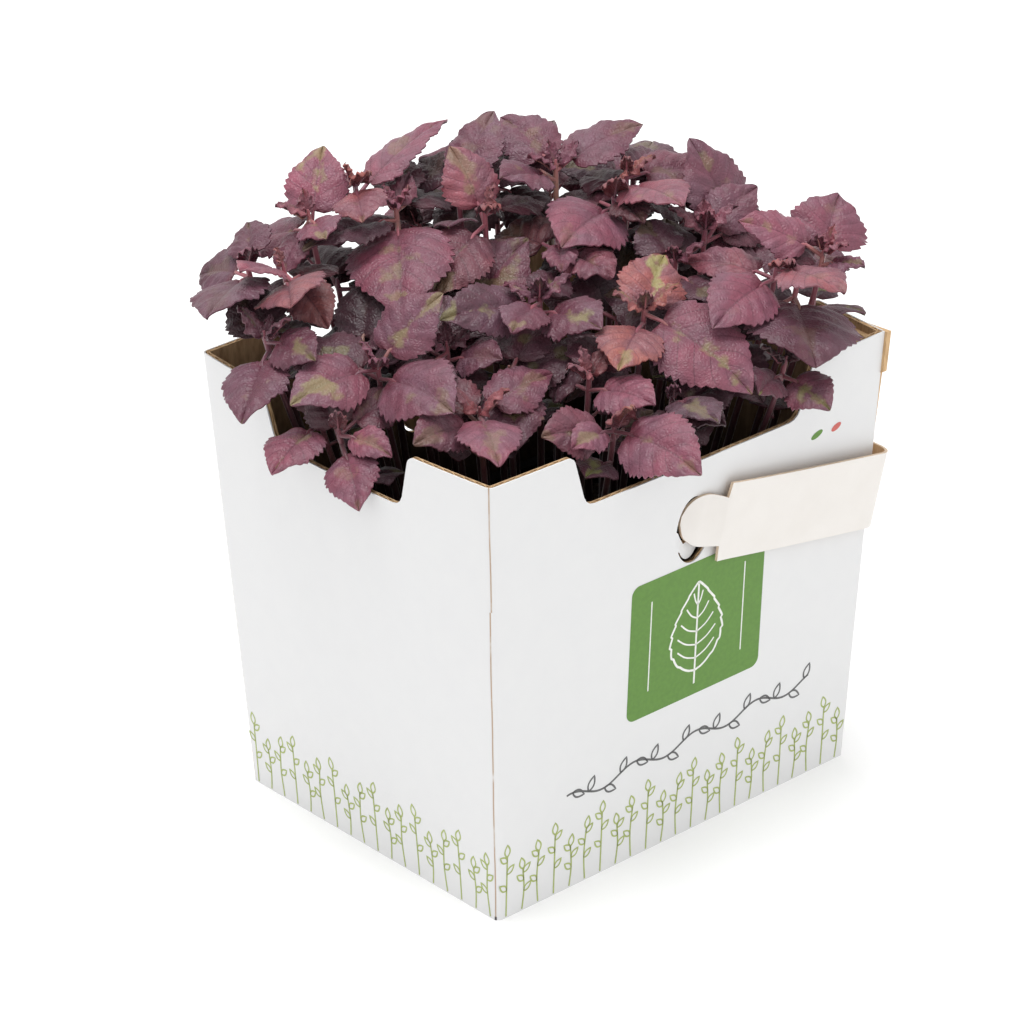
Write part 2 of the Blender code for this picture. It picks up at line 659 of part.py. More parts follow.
def strip_triangles(spine, edge, spine_shares, edge_shares):
    """Triangles between the midrib and one edge, stepping along whichever is behind."""
    triangles = []
    i = j = 0
    while i < len(spine) - 1 or j < len(edge) - 1:
        step_spine = j == len(edge) - 1
        if not step_spine and i < len(spine) - 1:
            step_spine = spine_shares[i + 1] < edge_shares[j + 1]
        if step_spine:
            triangles.append((spine[i], spine[i + 1], edge[j]))
            i += 1
        else:
            triangles.append((spine[i], edge[j + 1], edge[j]))
            j += 1
    return triangles


def leaf_mesh(leaf, thickness, stalk=True):
    """Points and triangles of a toothed blade, split alike on both faces, with its stalk."""
    marks = tooth_marks(leaf.teeth)
    spine_shares = [0.3, 0.62, 1.0]
    upper = []
    lower = []
    for across in (-1, 1):
        for place, depth in ((leaf.root, PETIOLE_THICKNESS), (leaf.frame(0.0)[0], PETIOLE_THICKNESS)):
            _, _, sideways, normal = leaf.frame(0.0)
            edge = place + sideways * across * PETIOLE_HALF_WIDTH
            deep = depth + thickness - BLADE_THICKNESS
            upper.append(edge + normal * deep / 2)
            lower.append(edge - normal * deep / 2)
    flat = [(share, 0.0) for share in spine_shares]
    flat += [(share, -side) for share, side in marks] + [(share, side) for share, side in marks]
    upper += [leaf.point(share, side, thickness / 2) for share, side in flat]
    lower += [leaf.point(share, side, -thickness / 2) for share, side in flat]
    count = len(upper)
    root_right, base_right, root_left, base_left = range(4)
    spine = [4, 5, 6]
    right = [7 + k for k in range(len(marks))]
    left = [right[-1] + 1 + k for k in range(len(marks))]
    edge_shares = [0.0] + [share for share, _ in marks]
    face = [(base_right, spine[0], base_left)]
    face += strip_triangles(spine, [base_left] + left, spine_shares, edge_shares)
    face += [(a, c, b) for a, b, c in strip_triangles(spine, [base_right] + right, spine_shares, edge_shares)]
    rim = [base_left] + left + [spine[-1]] + right[::-1] + [base_right]
    if stalk:
        face += [(root_right, base_right, base_left), (root_right, base_left, root_left)]
        rim += [root_right, root_left]
    triangles = face + [(count + a, count + c, count + b) for a, b, c in face]
    for here, follow in zip(rim, rim[1:] + rim[:1]):
        triangles.append((here, follow, count + follow))
        triangles.append((here, count + follow, count + here))
    return upper + lower, triangles


def tube_mesh(path, radii, sides):
    """Points and triangles of a closed tube through a path."""
    points = []
    side_axis = Vector((1, 0, 0))
    for k, (place, radius) in enumerate(zip(path, radii)):
        ahead = path[min(k + 1, len(path) - 1)] - path[max(k - 1, 0)]
        forward = ahead.normalized()
        side_axis = (side_axis - forward * side_axis.dot(forward)).normalized()
        up = forward.cross(side_axis)
        for turn in range(sides):
            angle = math.tau * turn / sides
            points.append(place + (side_axis * math.cos(angle) + up * math.sin(angle)) * radius)
    triangles = []
    for k in range(len(path) - 1):
        for a, b, c, d in band_faces(k * sides, (k + 1) * sides, sides):
            triangles += [(a, b, c), (a, c, d)]
    last = (len(path) - 1) * sides
    for k in range(1, sides - 1):
        triangles.append((0, k + 1, k))
        triangles.append((last, last + k, last + k + 1))
    return points, triangles


def crown_slope(foot, crown):
    """Way that a stem runs at its crown, for one millimetre of height."""
    lean = crown - Vector((foot[0], foot[1], MEDIUM_TOP))
    return Vector((CROWN_LEAN * lean.x / lean.z, CROWN_LEAN * lean.y / lean.z, 1.0))


def stem_path(foot, crown):
    """Straight in its hole, then one easy curve up to the crown."""
    start = Vector((foot[0], foot[1], MEDIUM_TOP + 1.5))
    height = crown.z - start.z
    pull = Vector((0, 0, 0.4 * height))
    controls = [start, start + pull, crown - crown_slope(foot, crown) * 0.3 * height, crown]
    path = [Vector((foot[0], foot[1], MEDIUM_TOP - HOLE_DEPTH + GAP))]
    for k in range(STEM_STEPS + 1):
        t = k / STEM_STEPS
        weights = ((1 - t) ** 3, 3 * t * (1 - t) ** 2, 3 * t * t * (1 - t), t ** 3)
        path.append(sum((control * weight for control, weight in zip(controls, weights)), Vector()))
    return path


def stem_mesh(foot, crown, extra=0.0):
    path = stem_path(foot, crown)
    path.append(crown + crown_slope(foot, crown) * BUD_HEIGHT)
    radii = [STEM_RADIUS + extra, STEM_RADIUS + extra]
    for k in range(STEM_STEPS):
        radii.append(STEM_RADIUS + (CROWN_RADIUS - STEM_RADIUS) * (k + 1) / STEM_STEPS + extra)
    radii.append(BUD_RADIUS + extra)
    return tube_mesh(path, radii, STEM_SIDES)


class Obstacle:
    """Mesh kept for overlap tests, with a rough ball round it."""

    def __init__(self, points, triangles, plant, blade=False):
        self.middle = sum(points, Vector()) / len(points)
        self.radius = max((point - self.middle).length for point in points)
        self.tree = BVHTree.FromPolygons(points, triangles)
        self.plant = plant
        self.blade = blade

    def meets(self, other):
        if (self.middle - other.middle).length > self.radius + other.radius:
            return False
        return bool(self.tree.overlap(other.tree))


def distance_back(x, y):
    """Distance from the carton's middle away from the front corner."""
    return CLIMB_X * x + CLIMB_Y * y


def canopy_height(x, y):
    """The canopy climbs away from the front corner and rounds off behind its crest."""
    back = distance_back(x, y)
    return CANOPY_MIDDLE + CANOPY_CLIMB * back - CANOPY_FALL * max(0.0, back - CANOPY_CREST) ** 2


def lean_angles(crown, heading):
    """Pitch and roll in degrees that lean a blade towards the front corner and out over the rim."""
    lean_x = OUTWARD_LEAN * crown.x / FILL_AREA[0] - FRONT_LEAN * CLIMB_X
    lean_y = OUTWARD_LEAN * crown.y / FILL_AREA[1] - FRONT_LEAN * CLIMB_Y
    turn = math.radians(heading)
    pitch = -(lean_x * math.cos(turn) + lean_y * math.sin(turn))
    roll = lean_x * math.sin(turn) - lean_y * math.cos(turn)
    return pitch, roll


def crown_list():
    """Crowns and leaf rows of the stems seen in the photograph and of those that fill up the canopy."""
    crowns = []
    for name, (x, y, lift, rows) in SEEN_STEMS.items():
        crowns.append((name, Vector((x, y, canopy_height(x, y) + lift)), rows))
    draw = random.Random(FILL_SEED)
    tries = 0
    while len(crowns) < MOST_STEMS and tries < FILL_TRIES:
        tries += 1
        x = draw.uniform(-FILL_AREA[0], FILL_AREA[0])
        y = draw.uniform(-FILL_AREA[1], FILL_AREA[1])
        near = min((Vector((x, y)) - crown.to_2d()).length for _, crown, _ in crowns)
        if near < FILL_SPACING * (1 - tries / (2 * FILL_TRIES)) or distance_back(x, y) < FILL_FRONT:
            continue
        heading = draw.uniform(0, 360)
        rows = []
        for k in range(FILL_LEAVES):
            turn = heading + 180 * (k % 2) + 90 * (k // 2) + draw.uniform(-FILL_TURN, FILL_TURN)
            reach = draw.uniform(*(FILL_REACH if k < 2 else FILL_SHORT_REACH))
            pitch = lean_angles(Vector((x, y, 0)), turn)[0] + draw.uniform(*FILL_PITCH)
            rows.append((turn, pitch, reach, draw.uniform(*FILL_WIDTH)))
        lift = draw.uniform(*FILL_LIFT)
        crowns.append((f"fill_{len(crowns):02d}", Vector((x, y, canopy_height(x, y) + lift)), rows))
    return crowns


def place_stems(crowns):
    """Foot of each stem, moved in small steps until the stem is clear of those already standing."""
    draw = random.Random(FILL_SEED + 1)
    stems = []
    feet = []
    for number, (name, crown, _) in enumerate(crowns):
        aim = (crown.x * FOOT_SHARE[0], crown.y * FOOT_SHARE[1])
        for step in range(FOOT_TRIES):
            spread = FOOT_SPREAD * step
            foot = (aim[0] + draw.uniform(-spread, spread), aim[1] + draw.uniform(-spread, spread))
            foot = tuple(max(-reach, min(reach, value)) for value, reach in zip(foot, FOOT_REACH))
            stem = Obstacle(*stem_mesh(foot, crown, CLEARANCE), number)
            apart = all((Vector(foot) - Vector(other)).length > FOOT_SPACING for other in feet)
            if apart and not any(stem.meets(other) for other in stems):
                break
        feet.append(foot)
        stems.append(Obstacle(*stem_mesh(foot, crown), number))
    return feet, stems


def leaf_variants(leaf):
    """The leaf as planned, then turned, raised or shrunk further and further."""
    changes = []
    for scale in (1.0, 0.9, 0.8, 0.7):
        for lift in (0, 5, -5, 10, -10, 16, -16, 24, -24, 32):
            for turn in (0, 6, -6, 12, -12, 18, -18, 26, -26):
                cost = abs(turn) + abs(lift) + SHRINK_COST * (1 - scale)
                changes.append((cost, turn, lift, scale))
    for _, turn, lift, scale in sorted(changes):
        yield leaf.changed(turn, lift, scale)


def leaf_clears(leaf, number, placed):
    """Whether a leaf keeps its distance from other stems and leaves, and from its own stem's blades."""
    wide = Leaf(leaf.axis, leaf.heading, leaf.pitch, leaf.reach + CLEARANCE, leaf.width * EDGE_CLEARANCE)
    wide.roll, wide.phase = leaf.roll, leaf.phase
    thickness = BLADE_THICKNESS + 2 * CLEARANCE
    whole = Obstacle(*leaf_mesh(wide, thickness), number)
    blade = Obstacle(*leaf_mesh(wide, thickness, stalk=False), number)
    for other in placed:
        if other.plant == number:
            if other.blade and blade.meets(other):
                return False
        elif whole.meets(other):
            return False
    return True


def clear_of_wall(place, edge, standoff, along, notch, z):
    """Whether a point keeps off one pair of walls: inside, well outside or over a notch."""
    if place < edge - BOARD - INSIDE_CLEARANCE or place > edge + standoff:
        return True
    corner = 0.0 if along < notch - NOTCH_RADIUS else NOTCH_RADIUS
    return along < notch - RIM_CLEARANCE and z > CARTON_HEIGHT - NOTCH_DEPTH + RIM_CLEARANCE + corner


def clear_of_carton(point):
    if point.z > CARTON_HEIGHT + RIM_CLEARANCE:
        return True
    half_length, half_depth = half_sizes(point.z)
    x, y = abs(point.x), abs(point.y)
    across_long = clear_of_wall(y, half_depth, LONG_BOW + LONG_STANDOFF, x, LONG_NOTCH_BOTTOM, point.z)
    across_short = clear_of_wall(x, half_length, SHORT_BOW + RIM_CLEARANCE, y, SHORT_NOTCH_BOTTOM, point.z)
    return across_long and across_short


def leaf_clears_carton(leaf):
    """Whether the blade and its stalk pass over the rim and not through a wall."""
    points, triangles = leaf_mesh(leaf, BLADE_THICKNESS)
    marks = set()
    for a, b, c in triangles:
        marks.update([(a, a), (min(a, b), max(a, b)), (min(b, c), max(b, c)), (min(a, c), max(a, c))])
    return all(clear_of_carton((points[first] + points[last]) / 2) for first, last in sorted(marks))


def plan_plants():
    """Foot, crown and leaves of every stem, with each leaf bent clear of all before it."""
    crowns = crown_list()
    feet, placed = place_stems(crowns)
    draw = random.Random(FILL_SEED + 2)
    plants = []
    for number, (name, crown, rows) in enumerate(crowns):
        leaves = []
        slope = crown_slope(feet[number], crown)
        for row, (heading, pitch, reach, width) in enumerate(rows):
            root = crown - slope * (LOWER_PAIR if row < 2 else UPPER_PAIR)
            roll = lean_angles(crown, heading)[1] + draw.uniform(-LEAF_ROLL, LEAF_ROLL)
            plan = Leaf(root, heading, pitch, reach, width, roll, draw.uniform(0, math.tau))
            for leaf in leaf_variants(plan):
                if leaf_clears_carton(leaf) and leaf_clears(leaf, number, placed):
                    leaves.append(leaf)
                    placed.append(Obstacle(*leaf_mesh(leaf, BLADE_THICKNESS), number, blade=True))
                    break
        plants.append((name, feet[number], crown, leaves))
    return plants


def build_plant(name, foot, crown, leaves, material):
    """One stem with its stalks and blades fused into a single body."""
    plant = make_object(f"stem_{name}", *stem_mesh(foot, crown))
    pieces = []
    for leaf in leaves:
        pieces.append(make_object("leaf", *leaf_mesh(leaf, BLADE_THICKNESS)))
    combine(plant, pieces, "UNION", "MANIFOLD")
    plant.data.materials.clear()
    plant.data.materials.append(material)
    return plant


def main():
    clear_scene()
    white_board = make_material("white_board", (0.86, 0.86, 0.85), 0.45)
    cream_card = make_material("cream_card", (0.86, 0.83, 0.78), 0.6)
    black_plastic = make_material("black_plastic", (0.02, 0.02, 0.02), 0.4)
    dark_medium = make_material("dark_medium", (0.035, 0.024, 0.016), 0.95)
    red_leaf = make_material("red_leaf", (0.23, 0.075, 0.105), 0.5)
    plants = plan_plants()
    build_carton(white_board)
    build_strap(cream_card)
    build_tray(black_plastic)
    build_medium([foot for _, foot, _, _ in plants], dark_medium)
    for name, foot, crown, leaves in plants:
        build_plant(name, foot, crown, leaves, red_leaf)


main()
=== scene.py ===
"""Red shiso microgreens in a notched white carton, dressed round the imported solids.

The plan of the stems and leaves is worked out again here from the same rule that placed the solids.
Sizes are in millimetres until a mesh is made. The long printed wall faces -Y, the strap's end +X.
"""

import math
import random

import bmesh
import bpy
from mathutils import Matrix, Vector
from mathutils.bvhtree import BVHTree


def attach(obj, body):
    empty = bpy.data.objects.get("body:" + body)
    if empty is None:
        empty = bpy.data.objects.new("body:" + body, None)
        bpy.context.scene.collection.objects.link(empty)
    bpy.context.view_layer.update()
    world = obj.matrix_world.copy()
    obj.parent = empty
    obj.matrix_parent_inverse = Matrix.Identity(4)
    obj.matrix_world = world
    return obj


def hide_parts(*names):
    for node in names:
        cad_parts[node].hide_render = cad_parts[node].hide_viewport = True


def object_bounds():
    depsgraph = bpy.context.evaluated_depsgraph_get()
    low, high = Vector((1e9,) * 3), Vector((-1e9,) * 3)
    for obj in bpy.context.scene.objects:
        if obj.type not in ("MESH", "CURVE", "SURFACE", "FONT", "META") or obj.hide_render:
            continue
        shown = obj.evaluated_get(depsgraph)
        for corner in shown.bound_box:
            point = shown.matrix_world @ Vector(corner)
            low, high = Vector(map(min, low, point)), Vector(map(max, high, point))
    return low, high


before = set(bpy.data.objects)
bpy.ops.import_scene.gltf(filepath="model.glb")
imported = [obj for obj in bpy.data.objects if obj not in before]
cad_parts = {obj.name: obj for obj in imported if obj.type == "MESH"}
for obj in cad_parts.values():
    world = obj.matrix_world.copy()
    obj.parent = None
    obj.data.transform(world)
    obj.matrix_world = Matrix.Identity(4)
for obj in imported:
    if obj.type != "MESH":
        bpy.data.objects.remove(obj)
CAD_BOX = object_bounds()

METRES = 0.001

# Carton: outer sizes at the base and at the rim, board thickness and how far the walls bow out at the rim
CARTON_HEIGHT = 120.0
BASE_LENGTH, BASE_DEPTH = 119.0, 94.5
RIM_LENGTH, RIM_DEPTH = 130.0, 106.0
BOARD = 1.5
LONG_BOW, SHORT_BOW = 1.0, 3.0

# Notches in the rim: half width at the rim and at the bottom of the cut
NOTCH_DEPTH = 14.5
LONG_NOTCH_TOP, LONG_NOTCH_BOTTOM = 39.5, 35.0
SHORT_NOTCH_TOP, SHORT_NOTCH_BOTTOM = 27.0, 23.0
NOTCH_RADIUS = 4.0
TAB_RADIUS = 2.5

# Oval cut for the strap in the middle of each long wall, with the flap of board pushed in behind it
SLOT_X, SLOT_Z = 0.6, 87.2
SLOT_HALF_WIDTH, SLOT_HALF_HEIGHT = 5.7, 9.0
FLAP_HALF_WIDTH, FLAP_HALF_HEIGHT = 5.0, 8.3
FLAP_HINGE_X = -5.0
FLAP_SLOPE = math.tan(math.radians(12))

# Corner where the carton is glued: the flap inside, and the short wall's raw edge springing off outside
GLUE_FLAP_WIDTH = 15.0
GLUE_FLAP_TOP = 118.0
RAW_EDGE_WIDTH = 8.0
# Heights along the raw edge, how far it stands in front of the printed wall, and how far it springs off
RAW_EDGE_ROWS = [
    (2.0, 0.05, 0.25), (94.0, 0.05, 0.35), (108.9, 0.05, 0.95), (109.1, 0.7, 1.4), (119.9, 0.8, 1.5),
]

# Strap: a flat card band, tilted down from the slots to the far end
STRAP_THICKNESS = 0.8
STRAP_HALF_WIDTH = 10.4
STRAP_TILT = math.radians(10.3)
STRAP_LEAN = math.tan(math.radians(6))
# The tongue lies along the wall up to this place, and the band has its own lean from twice as far
STRAP_LEAN_START = 6.0
STRAP_PIVOT_Z = 88.7
STRAP_CORNER_X = 63.4
STRAP_CORNER_RADIUS = 3.7
STRAP_CORNER_STANDOFF = 2.3
# Tongue and leg of the strap: place along it, lower and upper edge, distance of its middle off the wall
STRAP_COLUMNS = [
    (-3.6, 0.4, 2.4, -0.9),
    (-2.4, -2.9, 5.0, -0.5),
    (-0.6, -4.5, 6.9, 0.1),
    (1.4, -5.5, 7.7, 0.6),
    (3.6, -5.9, 7.8, 0.85),
    (6.4, -6.1, 7.2, 1.2),
    (8.9, -6.3, 6.5, 1.8),
    (9.3, -STRAP_HALF_WIDTH, STRAP_HALF_WIDTH, 1.9),
    (28.0, -STRAP_HALF_WIDTH, STRAP_HALF_WIDTH, 2.2),
    (46.0, -STRAP_HALF_WIDTH, STRAP_HALF_WIDTH, STRAP_CORNER_STANDOFF),
]
# Middle of the band along the far end: place across the carton and distance from its centre
STRAP_END = [(-40.0, 67.7), (-20.0, 68.5), (0.0, 68.9), (20.0, 68.5), (40.0, 67.7)]

# Growing tray and the medium in it
GAP = 0.3
MEDIUM_TOP = 50.0
HOLE_DEPTH = 6.0

# Stems
STEM_RADIUS = 1.15
CROWN_RADIUS = 0.75
BUD_HEIGHT, BUD_RADIUS = 2.5, 0.35
STEM_SIDES = 4
STEM_STEPS = 4
PETIOLE_LENGTH = 5.0
PETIOLE_HALF_WIDTH = 0.65
PETIOLE_THICKNESS = 1.1
ROOT_OFFSET = 0.2
# Depth below the crown of the lower and the upper pair of leaves, and the most degrees that a leaf rolls
LOWER_PAIR, UPPER_PAIR = 3.0, 0.5
LEAF_ROLL = 10.0
# Share of a stem's whole lean that is left at its crown
CROWN_LEAN = 0.8
# A foot aims at this share of its crown's place, within the reach, and keeps this far from the others
FOOT_SHARE = (0.78, 0.7)
FOOT_REACH = (47.0, 34.0)
FOOT_SPACING = 5.0
FOOT_TRIES = 60
FOOT_SPREAD = 0.35

# Blades
BLADE_THICKNESS = 0.6
BLADE_DROOP = math.radians(34)
BLADE_FOLD = 0.16
BLADE_CURL = 0.3
BLADE_WAVE = 0.7
BLADE_LOBE = 0.2
TOOTH_DEPTH = 0.13
TOOTH_REACH = 1.04
TOOTH_SKEW = 0.62
# Reach above which a leaf has four teeth on each edge, not three
LARGE_LEAF = 25.5
CLEARANCE = 0.4
EDGE_CLEARANCE = 1.06
# Least distance of a leaf from the walls inside, from the rim, and from the bowed long walls outside
INSIDE_CLEARANCE = 2.0
RIM_CLEARANCE = 1.0
LONG_STANDOFF = 1.6

# Canopy: height over the carton's middle and how it climbs away from the front corner
CANOPY_MIDDLE = 133.0
CANOPY_CLIMB = 0.27
CANOPY_CREST = 30.0
CANOPY_FALL = 0.005
CLIMB_X, CLIMB_Y = 0.664, 0.748
# Degrees that the blades lean towards the front corner, and outwards at the rim
FRONT_LEAN = 28.0
OUTWARD_LEAN = 16.0
FILL_SEED = 11
FILL_SPACING = 14.5
FILL_AREA = (57.0, 47.0)
FILL_TRIES = 4000
# Lowest distance back of a fill stem, and the ranges of its height over the canopy and of its leaves
FILL_FRONT = -38.0
FILL_LIFT = (-10.0, -1.0)
FILL_REACH = (26.0, 32.0)
FILL_SHORT_REACH = (20.0, 26.0)
FILL_WIDTH = (0.82, 0.98)
FILL_LEAVES = 4
# Most degrees that a fill leaf turns off its cross, and that its pitch goes below and above the lean
FILL_TURN = 14.0
FILL_PITCH = (-14.0, 6.0)
MOST_STEMS = 43
# Degrees of turning that count as much as shrinking a leaf to nothing
SHRINK_COST = 160.0

# Stems that stand out in the photograph: crown X and Y, lift over the canopy, and for each leaf its
# heading and pitch in degrees, its reach from the crown and its width as a share of its length
SEEN_STEMS = {
    "big_heart": (-12, 41, 7,
        [(-129, -25, 34, 0.93), (-179, -1, 31, 0.58), (-8, -14, 28, 0.7), (47, 9, 22, 0.8)]),
    "right_round": (46, -41, 1, [(-124, -18, 28, 1.28), (-175, -8, 21, 0.95)]),
    "right_star": (42, -38, 6,
        [(108, -4, 26, 0.57), (-169, -11, 27, 0.82), (-91, 0, 24, 0.95), (17, 4, 18, 1.1)]),
    "orange": (10, -25, 3, [(30, 27, 21, 1.1), (-149, -11, 23, 0.94), (-88, -17, 34, 0.83)]),
    "middle_heart": (33, 10, 5, [(-162, -5, 27, 1.0), (105, -16, 24, 0.68), (-106, -7, 16, 0.9)]),
    "top_cluster": (39, 12, 7,
        [(-94, -5, 26, 0.9), (89, -12, 17, 1.0), (-20, -10, 28, 0.65), (20, -1, 20, 0.9)]),
    "front_left": (-63, 3, -8,
        [(-119, -26, 22, 0.8), (86, 9, 18, 0.95), (-3, 10, 21, 0.8), (-83, -16, 17, 0.7)]),
    "front_middle": (-37, -18, -5,
        [(-178, 3, 22, 0.82), (91, 9, 20, 0.93), (-128, -20, 27, 0.72), (0, 2, 24, 0.74)]),
    "front_right": (-16, -42, -6,
        [(165, 11, 20, 0.93), (9, 1, 16, 1.0), (-88, -7, 29, 0.79), (-178, -10, 16, 0.75)]),
    "top_right": (54, -42, 6, [(31, 29, 22, 1.2), (-90, 11, 14, 0.75), (138, 9, 23, 0.8)]),
    "left_rim": (-62, 31, 1,
        [(-146, -24, 25, 0.85), (73, 25, 21, 1.0), (-88, -12, 18, 1.0), (11, -2, 16, 0.95)]),
    "left_edge": (-52, 50, 6, [(93, -19, 20, 1.1), (-152, -19, 27, 0.92), (50, -1, 17, 1.0)]),
    "left_round": (-47, 42, 6,
        [(-126, -5, 23, 1.05), (22, -7, 17, 1.1), (-169, -6, 18, 1.0), (-94, -6, 20, 0.85)]),
    "ribbed": (13, 9, 3, [(93, -8, 22, 1.1), (-89, -6, 20, 1.05), (-129, -18, 16, 0.75)]),
    "heart_side": (4, 26, 6, [(-165, -17, 28, 0.83), (88, 24, 22, 0.88), (2, -12, 21, 0.88)]),
    "top_middle": (27, 25, 8,
        [(101, 2, 34, 0.66), (-174, 15, 22, 0.88), (84, 14, 25, 0.8), (-12, 13, 27, 0.75)]),
    "middle_pair": (-5, -4, 2,
        [(163, 4, 27, 0.73), (-89, -2, 22, 1.0), (-158, -19, 20, 0.87), (27, 15, 15, 1.05)]),
    "back_spike": (-19, 48, 13, [(7, 15, 36, 0.42), (98, -15, 24, 0.89), (-124, -13, 17, 1.1)]),
    "left_back": (-33, 49, 10,
        [(101, -24, 25, 0.85), (14, 37, 24, 0.85), (-97, -4, 16, 1.05), (-138, -18, 17, 0.9)]),
    "back_middle": (4, 36, 10,
        [(89, -1, 18, 1.0), (12, 24, 26, 0.75), (-91, -2, 19, 0.98), (-165, -7, 22, 0.8)]),
    "cup": (31, -14, 0, [(42, 26, 18, 1.15), (-98, -4, 19, 0.98), (84, 20, 16, 1.15)]),
    "back_right": (43, -12, 2, [(-8, -14, 24, 0.63), (3, 12, 22, 0.82), (83, 3, 17, 1.0)]),
    "middle_left": (-28, 4, -4,
        [(105, 3, 20, 0.87), (-77, 22, 17, 1.0), (-161, -15, 21, 1.0), (54, 12, 17, 1.0)]),
    "middle_right": (-11, -28, -3, [(95, -14, 14, 1.1), (-86, -1, 22, 0.88), (33, 7, 18, 1.15)]),
    "left_pair": (-40, 22, -9, [(96, -6, 22, 1.1), (-99, 6, 19, 1.1), (48, 45, 24, 0.9)]),
    "front_arch": (3, -42, -8,
        [(-92, 5, 20, 0.67), (-5, 2, 22, 0.82), (-145, -40, 26, 0.38), (-107, -24, 25, 0.65)]),
    "right_dark": (42, -28, -15, [(-137, -7, 23, 1.1), (97, -10, 16, 1.1)]),
    "right_tab": (33, -50, -9, [(-76, -14, 18, 0.95), (-149, -8, 16, 0.9)]),
    "rim_left": (-62, 12, -8, [(-163, -6, 22, 0.9), (60, 23, 16, 1.0)]),
    "left_inner": (-31, 41, -5,
        [(-146, 1, 24, 1.0), (34, 4, 23, 0.95), (-97, 6, 24, 0.95), (77, 6, 23, 0.95)]),
    "back_inner": (-1, 45, -5,
        [(-125, -3, 22, 0.9), (70, 1, 20, 0.95), (-168, 14, 22, 0.9), (21, -13, 20, 0.95)]),
}

# Camera fitted to the carton's edges: place, heading, downward tilt and roll in degrees, focal length
CAMERA_PLACE = (-616.43, -682.09, 526.97)
CAMERA_HEADING = 41.58
CAMERA_TILT = 26.257
CAMERA_ROLL = -0.742
SENSOR_WIDTH = 36.0
FOCAL_LENGTH = 144.14

# Board: thickness of each liner, the wave between them, and the steps along a wall, a wave and a fold
LINER = 0.35
WAVE_PITCH = 3.3
WAVE_HALF_HEIGHT = 0.3
WAVE_SHEET = 0.2
FOLD_RADIUS = 1.7
WALL_STEPS, WAVE_STEPS, FOLD_STEPS = 36, 8, 6
# Scores across the carton's underside
GROOVE_WIDTH, GROOVE_DEPTH = 0.8, 0.5
# Below this height the raw edge stands behind the front liner, so far back
RAW_EDGE_HIDDEN, RAW_EDGE_BACK = 109.0, 0.3

# Fine blades: columns on each side of the midrib, and how they are embossed
BLADE_COLUMNS = 8
SHEET_THICKNESS = 0.36
FINE_TOOTH = 0.05
SIDE_VEINS = 6.0
VEIN_SLOPE = 0.3
PUCKER = 0.55
MIDRIB_GROOVE = 0.5
MARGIN_WAVE = 0.45
FINE_STEM_STEPS = 14
LOOKS_SEED = 5
# Box that the solids fill, in millimetres
BOX_MM = [[value * 1000 for value in corner] for corner in CAD_BOX]

# Half width of the studio floor in metres, and the strength of the light all round
FLOOR_REACH = 6.0
WORLD_LIGHT = 0.86
# Lights: name, place, point aimed at, size in metres, power in watts
LIGHTS = [
    ("overhead", (-0.15, 0.1, 1.6), (0, 0, 0.0), 0.7, 13.0),
    ("front", (0.5, -1.9, 0.9), (0, 0, 0.06), 0.8, 1.8),
    ("back", (0.4, 1.5, 1.3), (0, 0, 0.1), 0.8, 3.0),
]
# Tone of each leaf in turn, amount of green and depth of the puckers of stems that stand out
STEM_LOOKS = {
    "orange": ((0.95, 0.92, 0.6), 0.5, 1.0), "ribbed": ((0.85, 0.8, 0.7), 0.2, 1.5),
    "big_heart": ((0.45, 0.4, 0.5), 0.25, 0.8), "right_round": ((0.42, 0.3), 0.15, 0.7),
    "right_star": ((0.65, 0.7, 0.7, 0.6), 0.1, 0.8), "right_dark": ((0.05, 0.1), 0.1, 0.5),
    "front_left": ((0.65, 0.6, 0.5, 0.7), 0.3, 0.8), "front_middle": ((0.6, 0.7, 0.65, 0.6), 0.2, 0.8),
    "front_right": ((0.7, 0.6, 0.7, 0.55), 0.3, 0.8), "right_tab": ((0.6, 0.4), 0.9, 0.5),
    "middle_heart": ((0.7, 0.55, 0.75), 0.1, 0.9), "top_cluster": ((0.7, 0.5, 0.6, 0.6), 0.2, 0.9),
}
# Share of the colour that a leaf loses to painted shade where others cover it all round
COVER_SHADE = 0.78
# Colours of the blades from dark through mauve and pink to the warm young ones, upper side and underside
TOP_TONES = [(0.045, 0.013, 0.024), (0.17, 0.044, 0.073), (0.32, 0.085, 0.13), (0.40, 0.115, 0.095)]
UNDER_TONES = [(0.03, 0.006, 0.012), (0.08, 0.014, 0.028), (0.14, 0.025, 0.045), (0.2, 0.05, 0.05)]

# Print on the walls: how far the ink stands off, and its line width
INK_NEAR, INK_FAR = 0.02, 0.06
OVERPRINT = 0.05
BORDER_LINE = 0.42
BORDER_PITCH = 5.0
BORDER_HEIGHT = 17.0
# Green label: left, right, lower and upper edge, and the radius of its corners
LABEL = (-19.0, 26.0, 40.0, 77.8)
LABEL_RADIUS = 2.5
# Dabs of colour near the rim: place along the wall, height and half width
DABS = {"dab_green": (42.3, 99.0, 2.0), "dab_red": (49.2, 98.9, 1.7)}


def add_item(name, data):
    item = bpy.data.objects.new(name, data)
    bpy.context.scene.collection.objects.link(item)
    return item


def make_object(name, points, faces, turn_out=True, split=True):
    """Mesh in metres from points in millimetres, with its faces turned out and split into triangles."""
    mesh = bpy.data.meshes.new(name)
    mesh.from_pydata([Vector(point) * METRES for point in points], [], list(faces))
    work = bmesh.new()
    work.from_mesh(mesh)
    if turn_out:
        bmesh.ops.recalc_face_normals(work, faces=work.faces)
    if split:
        bmesh.ops.triangulate(work, faces=work.faces)
    work.to_mesh(mesh)
    work.free()
    return add_item(name, mesh)


